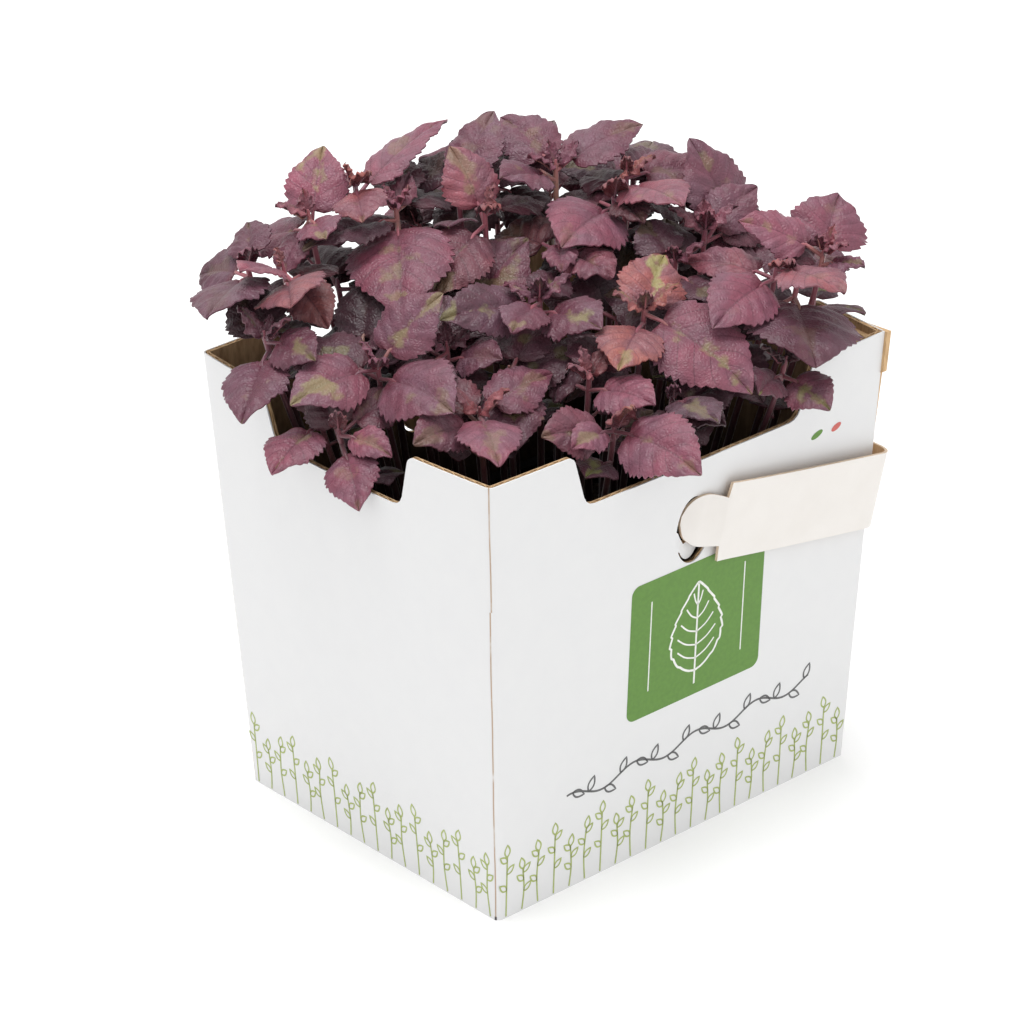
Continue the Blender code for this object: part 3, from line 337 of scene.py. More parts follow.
def cut(body, others):
    """Cut the others from a body in one applied Boolean, and remove them."""
    group = bpy.data.collections.new("cutters")
    bpy.context.scene.collection.children.link(group)
    for other in others:
        bpy.context.scene.collection.objects.unlink(other)
        group.objects.link(other)
    change = body.modifiers.new("cut", "BOOLEAN")
    change.operation = "DIFFERENCE"
    change.operand_type = "COLLECTION"
    change.collection = group
    change.solver = "EXACT"
    bpy.context.view_layer.update()
    seen = body.evaluated_get(bpy.context.evaluated_depsgraph_get())
    body.data = bpy.data.meshes.new_from_object(seen)
    body.modifiers.clear()
    for other in others:
        bpy.data.objects.remove(other, do_unlink=True)
    bpy.data.collections.remove(group)
    return body


def band_faces(start, other, count):
    """Quads between two closed rings of points that begin at the given indices."""
    turns = [(k, (k + 1) % count) for k in range(count)]
    return [(start + k, start + follow, other + follow, other + k) for k, follow in turns]


def half_sizes(z):
    """Half length and half depth of the carton's outside at a height."""
    sizes = (BASE_LENGTH, RIM_LENGTH), (BASE_DEPTH, RIM_DEPTH)
    return tuple((base + (rim - base) * (z / CARTON_HEIGHT)) / 2 for base, rim in sizes)


def wall_out(turn, along, z):
    """Distance from the middle of the outer face of a long wall, or of a short one where turn is odd."""
    length, depth = half_sizes(z)[::-1] if turn % 2 else half_sizes(z)
    bow = SHORT_BOW if turn % 2 else LONG_BOW
    return depth + bow * z / CARTON_HEIGHT * (1 - (along / length) ** 2)


def stacked_solid(name, rings, split=True):
    """Closed solid whose skin runs through the rings in turn, capped by the first and the last."""
    count = len(rings[0])
    points = [point for ring in rings for point in ring]
    last = len(points) - count
    faces = [tuple(range(count)), tuple(range(last + count - 1, last - 1, -1))]
    for start in range(0, last, count):
        faces += band_faces(start, start + count, count)
    return make_object(name, points, faces, split=split)


def prism(name, outline, reach, axis):
    """Solid that reaches equally far along both ways of an axis, from (along, height) pairs."""
    rings = []
    for place in (-reach, reach):
        rings.append([(place, a, z) if axis == "X" else (a, place, z) for a, z in outline])
    return stacked_solid(name, rings)


def rounded(corners, steps=3):
    """Outline whose corners (along, height, radius) are turned into arcs where a radius is given."""
    outline = []
    for k, (along, height, radius) in enumerate(corners):
        here = Vector((along, height))
        if radius == 0:
            outline.append(tuple(here))
            continue
        before = (Vector(corners[k - 1][:2]) - here).normalized()
        after = (Vector(corners[(k + 1) % len(corners)][:2]) - here).normalized()
        half_angle = before.angle(after) / 2
        middle = here + (before + after).normalized() * (radius / math.sin(half_angle))
        tangent = radius / math.tan(half_angle)
        start = (here + before * tangent - middle).normalized()
        end = (here + after * tangent - middle).normalized()
        outline += [tuple(middle + start.slerp(end, step / steps) * radius) for step in range(steps + 1)]
    return outline


def notch_cutter(name, half_top, half_bottom, axis):
    """Prism that cuts the same notch in two facing walls, with round corners on the tabs too."""
    rim, bottom = CARTON_HEIGHT, CARTON_HEIGHT - NOTCH_DEPTH
    outside = half_top + TAB_RADIUS + 1.5
    half = [(outside, rim + 10, 0), (outside, rim + 0.15, 0), (half_top, rim, TAB_RADIUS),
            (half_bottom, bottom, NOTCH_RADIUS)]
    corners = [(-along, height, radius) for along, height, radius in half]
    return prism(name, rounded(corners + half[::-1]), RIM_LENGTH, axis)


def oval(half_width, half_height, first=0, last=360, steps=16):
    """Arc of the slot's oval in the wall's plane, between two angles in degrees."""
    angles = [math.radians(first + (last - first) * k / steps) for k in range(steps + 1)]
    return [(SLOT_X + half_width * math.cos(a), SLOT_Z + half_height * math.sin(a)) for a in angles]


def flap_outline(steps):
    """Outline of the lobe that was cut free below the tongue; its left end runs into the wall."""
    root = FLAP_HINGE_X - 1.2
    outline = [(root, SLOT_Z + 1.4), (root, SLOT_Z - 4.5)]
    outline += oval(FLAP_HALF_WIDTH, FLAP_HALF_HEIGHT, 218, 335, steps)
    outline += [(3.5, SLOT_Z - 2.6), (-1.9, SLOT_Z - 3.4), (-3.3, SLOT_Z - 1.4), (-4.4, SLOT_Z + 0.6)]
    return outline


def slab_faces(rows, columns):
    """Faces of two facing grids of points and of the edges between them."""
    count = rows * columns
    faces = []
    for corner in range(count - columns):
        if corner % columns < columns - 1:
            cell = (corner, corner + 1, corner + 1 + columns, corner + columns)
            faces += [cell, tuple(count + index for index in reversed(cell))]
    loop = list(range(columns)) + [row * columns + columns - 1 for row in range(1, rows)]
    loop += [count - 2 - k for k in range(columns - 1)]
    loop += [row * columns for row in range(rows - 2, 0, -1)]
    for here, follow in zip(loop, loop[1:] + loop[:1]):
        faces.append((here, follow, count + follow, count + here))
    return faces


def board_on_short_wall(name, rows, insets):
    """Board on the +X wall from rows of (height, near Y, far Y, how far the near side springs off)."""
    points = []
    for inset in insets:
        for z, near, far, spring in rows:
            for share in (0.0, 0.5, 1.0):
                y = near + (far - near) * share
                out = wall_out(1, max(y, -half_sizes(z)[1]), z) + spring * (1 - share)
                points.append((out - inset, y, z))
    return make_object(name, points, slab_faces(len(rows), 3))


def strap_point(along, across, rise):
    """Point at a place in the tilted plane of the band and a rise across it."""
    x = along * math.cos(STRAP_TILT) + rise * math.sin(STRAP_TILT)
    z = STRAP_PIVOT_Z + rise * math.cos(STRAP_TILT) - along * math.sin(STRAP_TILT)
    return Vector((x, across, z))


def strap_leg_point(along, rise, standoff, face, side):
    """Point of a strap leg; face is +-1 for its outer and inner side."""
    share = min(1.0, max(0.0, along / STRAP_LEAN_START - 1))
    wall_slope = (RIM_DEPTH - BASE_DEPTH) / 2 / CARTON_HEIGHT
    lean = wall_slope + (STRAP_LEAN - wall_slope) * share
    out = wall_out(0, along, strap_point(along, 0, 0).z)
    return strap_point(along, side * (out + standoff + rise * lean + face * STRAP_THICKNESS / 2), rise)


def strap_end_point(along, across, normal, rise, face):
    """Point of the strap's bend or far end, on a path (along, across) in the tilted plane."""
    half = face * STRAP_THICKNESS / 2
    return strap_point(along + normal.x * half, across + normal.y * (half + rise * STRAP_LEAN), rise)


class Leaf:
    """One blade with its petiole: where it starts on the stem, where it points and how it is shaped."""

    def __init__(self, root, heading, pitch, reach, width, roll=0.0, phase=0.0):
        self.axis = root
        turn = math.radians(heading)
        self.root = root + Vector((math.cos(turn), math.sin(turn), 0)) * ROOT_OFFSET
        self.heading, self.pitch, self.reach = heading, pitch, reach
        self.width, self.roll, self.phase = width, roll, phase
        self.petiole = min(PETIOLE_LENGTH, 0.25 * reach)
        self.length = reach - self.petiole
        self.teeth = 4 if reach > LARGE_LEAF else 3

    def changed(self, turn, lift, scale):
        """The same leaf turned, raised or shrunk a little."""
        heading, pitch = self.heading + turn, self.pitch + lift
        return Leaf(self.axis, heading, pitch, self.reach * scale, self.width, self.roll, self.phase)

    def frame(self, share):
        """Place on the midrib, and the directions across the blade and out of its face."""
        heading = math.radians(self.heading)
        start = math.radians(self.pitch) + BLADE_DROOP / 2
        slope = start - BLADE_DROOP * share
        arc = self.length / BLADE_DROOP
        run = arc * (math.sin(start) - math.sin(slope)) + self.petiole * math.cos(start)
        rise = arc * (math.cos(slope) - math.cos(start)) + self.petiole * math.sin(start)
        outward = Vector((math.cos(heading), math.sin(heading), 0))
        place = self.root + outward * run + Vector((0, 0, rise))
        forward = outward * math.cos(slope) + Vector((0, 0, math.sin(slope)))
        across = Vector((-math.sin(heading), math.cos(heading), 0))
        normal = forward.cross(across)
        roll = math.radians(self.roll)
        rolled = across * math.cos(roll) + normal * math.sin(roll)
        return place, forward, rolled, forward.cross(rolled)

    def point(self, share, side, thickness=0.0):
        """Point of the blade at a share of its length; side runs from -1 to 1 between its edges."""
        half = self.width * self.length / 2
        outline = math.sin(math.pi * min(1.0, max(0.0, share)) ** 0.7) ** 0.8 * (1 - 0.25 * share ** 3)
        offset = side * outline * half
        back = BLADE_LOBE * abs(side) * outline * (1 - share) ** 6
        place, forward, across, normal = self.frame(share - back)
        edge = abs(offset) / half
        ripple = math.sin(9.0 * share + self.phase + (1.5 if side > 0 else 0.0))
        height = half * edge * (BLADE_FOLD - BLADE_CURL * edge) + BLADE_WAVE * edge * edge * ripple
        return place + across * offset + normal * (height + thickness)


def tooth_marks(teeth):
    """(share, side) pairs up one edge of a blade: a notch and a forward tip for each tooth."""
    marks = []
    first, last = 0.05, 0.9
    for k in range(teeth):
        share = first + (last - first) * k / teeth
        marks += [(share, 1 - TOOTH_DEPTH), (share + TOOTH_SKEW * ((last - first) / teeth), TOOTH_REACH)]
    return marks[1:]


def strip_triangles(spine, edge, spine_shares, edge_shares):
    """Triangles between the midrib and one edge, stepping along whichever is behind."""
    triangles = []
    i = j = 0
    while i < len(spine) - 1 or j < len(edge) - 1:
        spine_left = i < len(spine) - 1
        if j == len(edge) - 1 or spine_left and spine_shares[i + 1] < edge_shares[j + 1]:
            triangles.append((spine[i], spine[i + 1], edge[j]))
            i += 1
        else:
            triangles.append((spine[i], edge[j + 1], edge[j]))
            j += 1
    return triangles


def leaf_mesh(leaf, thickness=BLADE_THICKNESS, stalk=True):
    """Points and triangles of a toothed blade, split alike on both faces, with its stalk."""
    marks = tooth_marks(leaf.teeth)
    spine_shares = [0.3, 0.62, 1.0]
    base, _, sideways, normal = leaf.frame(0.0)
    deep = (PETIOLE_THICKNESS + thickness - BLADE_THICKNESS) / 2
    half = sideways * PETIOLE_HALF_WIDTH
    corners = [leaf.root - half, base - half, leaf.root + half, base + half]
    flat = [(share, 0.0) for share in spine_shares]
    flat += [(share, -side) for share, side in marks] + marks
    points = []
    for face in (1, -1):
        points += [corner + normal * (face * deep) for corner in corners]
        points += [leaf.point(share, side, face * thickness / 2) for share, side in flat]
    count = len(corners) + len(flat)
    root_right, base_right, root_left, base_left = range(4)
    spine = [4, 5, 6]
    right = [7 + k for k in range(len(marks))]
    left = [index + len(marks) for index in right]
    edge_shares = [0.0] + [share for share, _ in marks]
    face = [(base_right, spine[0], base_left)]
    face += strip_triangles(spine, [base_left] + left, spine_shares, edge_shares)
    mirrored = strip_triangles(spine, [base_right] + right, spine_shares, edge_shares)
    face += [(a, c, b) for a, b, c in mirrored]
    rim = [base_left] + left + [spine[-1]] + right[::-1] + [base_right]
    if stalk:
        face += [(root_right, base_right, base_left), (root_right, base_left, root_left)]
        rim += [root_right, root_left]
    triangles = face + [(count + a, count + c, count + b) for a, b, c in face]
    for here, follow in zip(rim, rim[1:] + rim[:1]):
        triangles += [(here, follow, count + follow), (here, count + follow, count + here)]
    return points, triangles


def tube_mesh(path, radii, sides):
    """Points and triangles of a closed tube through a path."""
    points = []
    side_axis = Vector((1, 0, 0))
    for k, (place, radius) in enumerate(zip(path, radii)):
        forward = (path[min(k + 1, len(path) - 1)] - path[max(k - 1, 0)]).normalized()
        side_axis = (side_axis - forward * side_axis.dot(forward)).normalized()
        up = forward.cross(side_axis)
        for turn in range(sides):
            angle = math.tau * turn / sides
            points.append(place + (side_axis * math.cos(angle) + up * math.sin(angle)) * radius)
    triangles = []
    last = len(points) - sides
    for start in range(0, last, sides):
        for a, b, c, d in band_faces(start, start + sides, sides):
            triangles += [(a, b, c), (a, c, d)]
    for k in range(1, sides - 1):
        triangles += [(0, k + 1, k), (last, last + k, last + k + 1)]
    return points, triangles


def crown_slope(foot, crown):
    """Way that a stem runs at its crown, for one millimetre of height."""
    lean = crown - Vector((foot[0], foot[1], MEDIUM_TOP))
    return Vector((CROWN_LEAN * lean.x / lean.z, CROWN_LEAN * lean.y / lean.z, 1.0))


def stem_path(foot, crown, steps):
    """Straight in its hole, then one easy curve up to the crown, and on to the bud."""
    start = Vector((*foot, MEDIUM_TOP + 1.5))
    slope = crown_slope(foot, crown)
    height = crown.z - start.z
    controls = [start, start + Vector((0, 0, 0.4 * height)), crown - slope * 0.3 * height, crown]
    path = [Vector((*foot, MEDIUM_TOP - HOLE_DEPTH + GAP))]
    for k in range(steps + 1):
        t = k / steps
        weights = ((1 - t) ** 3, 3 * t * (1 - t) ** 2, 3 * t * t * (1 - t), t ** 3)
        path.append(sum((control * weight for control, weight in zip(controls, weights)), Vector()))
    return path + [crown + slope * BUD_HEIGHT]


def stem_radii(steps):
    return [STEM_RADIUS + (CROWN_RADIUS - STEM_RADIUS) * k / steps for k in range(steps + 1)]


def stem_mesh(foot, crown, extra=0.0):
    radii = [radius + extra for radius in [STEM_RADIUS] + stem_radii(STEM_STEPS) + [BUD_RADIUS]]
    return tube_mesh(stem_path(foot, crown, STEM_STEPS), radii, STEM_SIDES)


class Obstacle:
    """Mesh kept for overlap tests, with a rough ball round it."""

    def __init__(self, points, triangles, plant, blade=False):
        self.middle = sum(points, Vector()) / len(points)
        self.radius = max((point - self.middle).length for point in points)
        self.tree = BVHTree.FromPolygons(points, triangles)
        self.plant = plant
        self.blade = blade

    def meets(self, other):
        if (self.middle - other.middle).length > self.radius + other.radius:
            return False
        return bool(self.tree.overlap(other.tree))


def distance_back(x, y):
    return CLIMB_X * x + CLIMB_Y * y


def canopy_height(x, y):
    """The canopy climbs away from the front corner and rounds off behind its crest."""
    back = distance_back(x, y)
    return CANOPY_MIDDLE + CANOPY_CLIMB * back - CANOPY_FALL * max(0.0, back - CANOPY_CREST) ** 2


def lean_angles(crown, heading):
    """Pitch and roll in degrees that lean a blade towards the front corner and out over the rim."""
    lean_x = OUTWARD_LEAN * crown.x / FILL_AREA[0] - FRONT_LEAN * CLIMB_X
    lean_y = OUTWARD_LEAN * crown.y / FILL_AREA[1] - FRONT_LEAN * CLIMB_Y
    cos, sin = math.cos(math.radians(heading)), math.sin(math.radians(heading))
    return -(lean_x * cos + lean_y * sin), lean_x * sin - lean_y * cos


def crown_list():
    """Crowns and leaf rows of the stems seen in the photograph and of those that fill up the canopy."""
    crowns = []
    for name, (x, y, lift, rows) in SEEN_STEMS.items():
        crowns.append((name, Vector((x, y, canopy_height(x, y) + lift)), rows))
    draw = random.Random(FILL_SEED)
    for tries in range(1, FILL_TRIES + 1):
        if len(crowns) == MOST_STEMS:
            break
        x, y = (draw.uniform(-reach, reach) for reach in FILL_AREA)
        near = min((Vector((x, y)) - crown.to_2d()).length for _, crown, _ in crowns)
        if near < FILL_SPACING * (1 - tries / (2 * FILL_TRIES)) or distance_back(x, y) < FILL_FRONT:
            continue
        heading = draw.uniform(0, 360)
        rows = []
        for k in range(FILL_LEAVES):
            turn = heading + 180 * (k % 2) + 90 * (k // 2) + draw.uniform(-FILL_TURN, FILL_TURN)
            reach = draw.uniform(*(FILL_REACH if k < 2 else FILL_SHORT_REACH))
            pitch = lean_angles(Vector((x, y, 0)), turn)[0] + draw.uniform(*FILL_PITCH)
            rows.append((turn, pitch, reach, draw.uniform(*FILL_WIDTH)))
        crown = Vector((x, y, canopy_height(x, y) + draw.uniform(*FILL_LIFT)))
        crowns.append((f"fill_{len(crowns):02d}", crown, rows))
    return crowns


def place_stems(crowns):
    """Foot of each stem, moved in small steps until the stem is clear of those already standing."""
    draw = random.Random(FILL_SEED + 1)
    stems = []
    feet = []
    for number, (_, crown, _) in enumerate(crowns):
        for step in range(FOOT_TRIES):
            spread = FOOT_SPREAD * step
            foot = [share * place + draw.uniform(-spread, spread) for share, place in zip(FOOT_SHARE, crown)]
            foot = tuple(max(-reach, min(reach, value)) for value, reach in zip(foot, FOOT_REACH))
            stem = Obstacle(*stem_mesh(foot, crown, CLEARANCE), number)
            apart = all((Vector(foot) - Vector(other)).length > FOOT_SPACING for other in feet)
            if apart and not any(stem.meets(other) for other in stems):
                break
        feet.append(foot)
        stems.append(Obstacle(*stem_mesh(foot, crown), number))
    return feet, stems


def leaf_obstacle(leaf, plant):
    return Obstacle(*leaf_mesh(leaf), plant, blade=True)


def leaf_variants(leaf):
    """The leaf as planned, then turned, raised or shrunk further and further."""
    changes = []
    for scale in (1.0, 0.9, 0.8, 0.7):
        for lift in (0, 5, -5, 10, -10, 16, -16, 24, -24, 32):
            for turn in (0, 6, -6, 12, -12, 18, -18, 26, -26):
                cost = abs(turn) + abs(lift) + SHRINK_COST * (1 - scale)
                changes.append((cost, turn, lift, scale))
    return (leaf.changed(*change[1:]) for change in sorted(changes))


def leaf_clears(leaf, number, placed):
    """Whether a leaf keeps its distance from other stems and leaves, and from its own stem's blades."""
    wide = Leaf(leaf.axis, leaf.heading, leaf.pitch, leaf.reach + CLEARANCE, leaf.width * EDGE_CLEARANCE,
                leaf.roll, leaf.phase)
    thickness = BLADE_THICKNESS + 2 * CLEARANCE
    whole, blade = (Obstacle(*leaf_mesh(wide, thickness, stalk), number) for stalk in (True, False))
    for other in placed:
        if other.plant != number:
            if whole.meets(other):
                return False
        elif other.blade and blade.meets(other):
            return False
    return True


def clear_of_wall(place, edge, standoff, along, notch, z):
    """Whether a point keeps off one pair of walls: inside, well outside or over a notch."""
    if place < edge - BOARD - INSIDE_CLEARANCE or place > edge + standoff:
        return True
    corner = 0.0 if along < notch - NOTCH_RADIUS else NOTCH_RADIUS
    return along < notch - RIM_CLEARANCE and z > CARTON_HEIGHT - NOTCH_DEPTH + RIM_CLEARANCE + corner


def clear_of_carton(point):
    if point.z > CARTON_HEIGHT + RIM_CLEARANCE:
        return True
    half_length, half_depth = half_sizes(point.z)
    x, y = abs(point.x), abs(point.y)
    across_long = clear_of_wall(y, half_depth, LONG_BOW + LONG_STANDOFF, x, LONG_NOTCH_BOTTOM, point.z)
    across_short = clear_of_wall(x, half_length, SHORT_BOW + RIM_CLEARANCE, y, SHORT_NOTCH_BOTTOM, point.z)
    return across_long and across_short


def leaf_clears_carton(leaf):
    """Whether the blade and its stalk pass over the rim and not through a wall."""
    points, triangles = leaf_mesh(leaf)
    marks = {pair for a, b, c in triangles for pair in ((a, a), (a, b), (b, c), (a, c))}
    return all(clear_of_carton((points[first] + points[last]) / 2) for first, last in marks)


def first_clear(options, number, placed):
    """The first leaf that is clear of the other plants, in a list, once it is among those placed."""
    for leaf in options:
        if leaf_clears(leaf, number, placed):
            placed.append(leaf_obstacle(leaf, number))
            return [leaf]
    return []


def plan_plants():
    """Foot, crown and leaves of every stem, with each leaf bent clear of all before it."""
    crowns = crown_list()
    feet, placed = place_stems(crowns)
    draw = random.Random(FILL_SEED + 2)
    plants = []
    for number, (name, crown, rows) in enumerate(crowns):
        leaves = []
        slope = crown_slope(feet[number], crown)
        for row, (heading, pitch, reach, width) in enumerate(rows):
            root = crown - slope * (LOWER_PAIR if row < 2 else UPPER_PAIR)
            roll = lean_angles(crown, heading)[1] + draw.uniform(-LEAF_ROLL, LEAF_ROLL)
            plan = Leaf(root, heading, pitch, reach, width, roll, draw.uniform(0, math.tau))
            options = (leaf for leaf in leaf_variants(plan) if leaf_clears_carton(leaf))
            leaves += first_clear(options, number, placed)
        plants.append((name, feet[number], crown, leaves))
    return plants


# Materials
class Skin:
    """Node material in the making; the values given to it are numbers, colours or sockets."""

    def __init__(self, name, colour, roughness):
        self.material = bpy.data.materials.new(name)
        self.material.use_nodes = True
        self.tree = self.material.node_tree
        self.shader = self.tree.nodes["Principled BSDF"]
        self.set("Base Color", colour)
        self.set("Roughness", roughness)

    def put(self, value, socket):
        if isinstance(value, bpy.types.NodeSocket):
            self.tree.links.new(value, socket)
        else:
            socket.default_value = (*value, 1.0) if socket.type == "RGBA" else value

    def set(self, name, value):
        self.put(value, self.shader.inputs[name])

    def node(self, kind, output, inputs=(), **settings):
        """One output of a new node, from its inputs as (name or number, value) pairs."""
        node = self.tree.nodes.new("ShaderNode" + kind)
        for key, value in settings.items():
            setattr(node, key, value)
        for key, value in inputs:
            self.put(value, node.inputs[key])
        return node.outputs[output]

    def place(self):
        return self.node("TexCoord", "Object")

    def split(self, vector):
        node = self.tree.nodes.new("ShaderNodeSeparateXYZ")
        self.put(vector, node.inputs[0])
        return node.outputs

    def noise(self, scale, detail=4.0, vector=None):
        place = self.place() if vector is None else vector
        return self.node("TexNoise", "Fac", [("Vector", place), ("Scale", scale), ("Detail", detail)])

    def ramp(self, value, *stops):
        """Colour along a value, from stops of (place, colour)."""
        node = self.tree.nodes.new("ShaderNodeValToRGB")
        self.put(value, node.inputs["Fac"])
        elements = node.color_ramp.elements
        while len(elements) < len(stops):
            elements.new(0.5)
        for element, (place, colour) in zip(elements, stops):
            element.position = place
            element.color = (*colour, 1.0)
        return node.outputs["Color"]

    def math(self, operation, *values):
        return self.node("Math", 0, enumerate(values), operation=operation)

    def scaled(self, value, factor, shift):
        return self.math("MULTIPLY_ADD", value, factor, shift)

    def clamped(self, value):
        return self.node("Clamp", 0, [("Value", value)])

    def faded(self, value, factor, shift):
        return self.clamped(self.scaled(value, factor, shift))

    def mix(self, share, first, second, blend="MIX"):
        inputs = [(0, share), (6, first), (7, second)]
        return self.node("Mix", 2, inputs, data_type="RGBA", blend_type=blend)

    def bump(self, height, strength, distance):
        inputs = [("Height", height), ("Strength", strength), ("Distance", distance)]
        self.set("Normal", self.node("Bump", "Normal", inputs))


def fold_mask(skin):
    """Masks of the cracked score line beside each upright fold and of the hole at its foot, in metres."""
    x, y, z = skin.split(skin.place())
    reach = []
    for place, base, rim in ((x, BASE_LENGTH, RIM_LENGTH), (y, BASE_DEPTH, RIM_DEPTH)):
        wall = skin.scaled(z, (rim - base) / 2 / CARTON_HEIGHT, base / 2 * METRES)
        reach.append(skin.math("SUBTRACT", wall, skin.math("ABSOLUTE", place)))
    jog = skin.math("MULTIPLY", skin.math("LESS_THAN", z, 0.087), 0.0004)
    wander = skin.scaled(skin.noise(45.0), 0.0006, jog)
    off = skin.math("ABSOLUTE", skin.math("ADD", skin.math("SUBTRACT", *reach), wander))
    broken = skin.faded(skin.noise(160.0, 3.0), 4.0, -0.9)
    hole = skin.math("MULTIPLY", skin.faded(z, -2500.0, 3.0), skin.faded(off, -3500.0, 1.8))
    return skin.math("MULTIPLY", skin.faded(off, -5200.0, 1.7), broken), hole


def coated_board():
    """White clay-coated liner with a faint mottle, and brown paper where the folds have cracked it."""
    skin = Skin("coated_board", (0.725, 0.725, 0.725), 0.5)
    mottle = skin.noise(180.0)
    white = skin.ramp(mottle, (0.3, (0.72, 0.72, 0.723)), (0.7, (0.732, 0.732, 0.732)))
    line, hole = fold_mask(skin)
    scored = skin.mix(line, white, (0.42, 0.29, 0.20))
    skin.set("Base Color", skin.mix(hole, scored, (0.03, 0.02, 0.02)))
    skin.set("Roughness", skin.scaled(mottle, 0.1, 0.38))
    skin.bump(skin.noise(2400.0, 2.0), 0.06, 0.0002)
    return skin.material


def kraft(name, dark, light, shade_down_walls=False):
    """Uncoated brown paper with fibres; where asked, painted shade darkens it down the walls."""
    skin = Skin(name, light, 0.85)
    place = skin.place()
    stretched = skin.node("Mapping", "Vector", [("Vector", place), ("Scale", (1.0, 1.0, 0.25))])
    fibre = skin.noise(900.0, 5.0, stretched)
    colour = skin.ramp(fibre, (0.3, dark), (0.7, light))
    if shade_down_walls:
        # Painted shade: the paper fades to nine tenths black from about 115 mm down to about 70 mm.
        edge = skin.scaled(skin.noise(45.0), 0.02, skin.split(place)[2])
        painted_shade_colour = skin.mix(0.9, colour, (0.0, 0.0, 0.0))
        colour = skin.mix(skin.faded(edge, 22.0, -1.75), painted_shade_colour, colour)
    skin.set("Base Color", colour)
    skin.bump(fibre, 0.3, 0.0003)
    return skin.material


def cream_card():
    skin = Skin("cream_card", (0.84, 0.80, 0.74), 0.5)
    mottle = skin.ramp(skin.noise(140.0), (0.3, (0.77, 0.735, 0.695)), (0.7, (0.795, 0.762, 0.725)))
    skin.set("Base Color", mottle)
    skin.bump(skin.noise(1800.0, 3.0), 0.08, 0.0002)
    return skin.material


def ink(name, colour):
    skin = Skin(name, colour, 0.5)
    dark = tuple(value * 0.88 for value in colour)
    skin.set("Base Color", skin.ramp(skin.noise(900.0), (0.35, dark), (0.65, colour)))
    return skin.material


def soil():
    skin = Skin("dark_medium", (0.03, 0.022, 0.015), 0.95)
    grain = skin.noise(420.0, 8.0)
    skin.set("Base Color", skin.ramp(grain, (0.35, (0.012, 0.009, 0.007)), (0.68, (0.075, 0.05, 0.032))))
    skin.bump(grain, 0.9, 0.002)
    return skin.material


def black_plastic():
    skin = Skin("black_plastic", (0.018, 0.018, 0.019), 0.4)
    skin.set("Roughness", skin.scaled(skin.noise(60.0), 0.2, 0.3))
    skin.bump(skin.noise(1500.0, 2.0), 0.1, 0.0002)
    return skin.material


def vein_mask(skin, share, side):
    """1 on the side veins and the midrib of a blade, 0 between them."""
    reach = skin.math("ABSOLUTE", side)
    drop = skin.math("MULTIPLY", reach, -VEIN_SLOPE)
    phase = skin.math("FRACT", skin.math("MULTIPLY", skin.math("ADD", share, drop), SIDE_VEINS))
    off = skin.math("ABSOLUTE", skin.math("SUBTRACT", phase, 0.5))
    lateral = skin.math("MULTIPLY", skin.math("SUBTRACT", off, 0.43), 14.0)
    midrib = skin.math("SUBTRACT", 1.0, skin.math("MULTIPLY", reach, 18.0))
    return skin.clamped(skin.math("MAXIMUM", lateral, midrib))


def leaf_skin(name, tones, cool, vein, green):
    """Blade colour: tone by leaf, cooler clouds, darker veins, yellow-green patches towards the tip, and
    painted shade where other blades cover it.
    """
    skin = Skin(name, tones[1], 0.45)
    share, side, _ = skin.split(skin.node("Attribute", "Vector", attribute_name="leaf_place"))
    level, patches, shade = skin.split(skin.node("Attribute", "Vector", attribute_name="leaf_looks"))
    tone = skin.ramp(level, *zip((0.0, 0.35, 0.7, 1.0), tones))
    cloud = skin.faded(skin.noise(110.0, 3.0), 4.0, -1.5)
    tone = skin.mix(skin.math("MULTIPLY", cloud, 0.6), tone, cool)
    grain = skin.ramp(skin.noise(420.0, 6.0), (0.3, (0.5, 0.5, 0.5)), (0.7, (1.0, 1.0, 1.0)))
    tone = skin.mix(0.6, tone, grain, "MULTIPLY")
    tone = skin.mix(skin.math("MULTIPLY", vein_mask(skin, share, side), 0.7), tone, vein)
    tone = skin.mix(skin.faded(share, -6.0, 0.85), tone, (0.13, 0.02, 0.035))
    middle = skin.scaled(skin.math("ABSOLUTE", side), -0.25, 0.1)
    blotch = skin.math("ADD", skin.noise(140.0, 3.0), skin.scaled(share, 0.2, middle))
    patch = skin.math("MULTIPLY", skin.faded(blotch, 12.0, -8.1), patches)
    tone = skin.mix(skin.clamped(patch), tone, green)
    # Painted shade: the blade's colour goes towards near black by the share of it that other blades cover.
    skin.set("Base Color", skin.mix(shade, tone, (0.012, 0.004, 0.005)))
    skin.set("Sheen Weight", 0.12)
    skin.set("Sheen Roughness", 0.4)
    inputs = [("Vector", skin.place()), ("Scale", 1100.0)]
    cells = skin.node("TexVoronoi", "Distance", inputs, feature="DISTANCE_TO_EDGE")
    skin.bump(skin.scaled(skin.noise(600.0), 0.6, cells), 0.5, 0.0005)
    return skin.material


def stem_skin():
    """Pink and green stalks, with painted shade that darkens them lower down among the others."""
    skin = Skin("stem_skin", (0.3, 0.08, 0.12), 0.4)
    stops = [(0.35, (0.18, 0.045, 0.08)), (0.55, (0.36, 0.09, 0.12)), (0.72, (0.40, 0.22, 0.15))]
    colour = skin.ramp(skin.noise(50.0, 3.0), *stops)
    # Painted shade: stalks are near black below about 95 mm and reach their full colour by about 140 mm.
    lit = skin.faded(skin.split(skin.place())[2], 22.0, -2.1)
    skin.set("Base Color", skin.mix(lit, (0.035, 0.01, 0.014), colour))
    skin.set("Sheen Weight", 0.3)
    skin.bump(skin.noise(1200.0, 2.0), 0.2, 0.0003)
    return skin.material


def turned(along, out, turn, z):
    """Point on the wall reached after so many quarter turns anticlockwise from the printed wall."""
    return Vector((*[(along, -out), (out, along), (-along, out), (-out, -along)][turn], z))


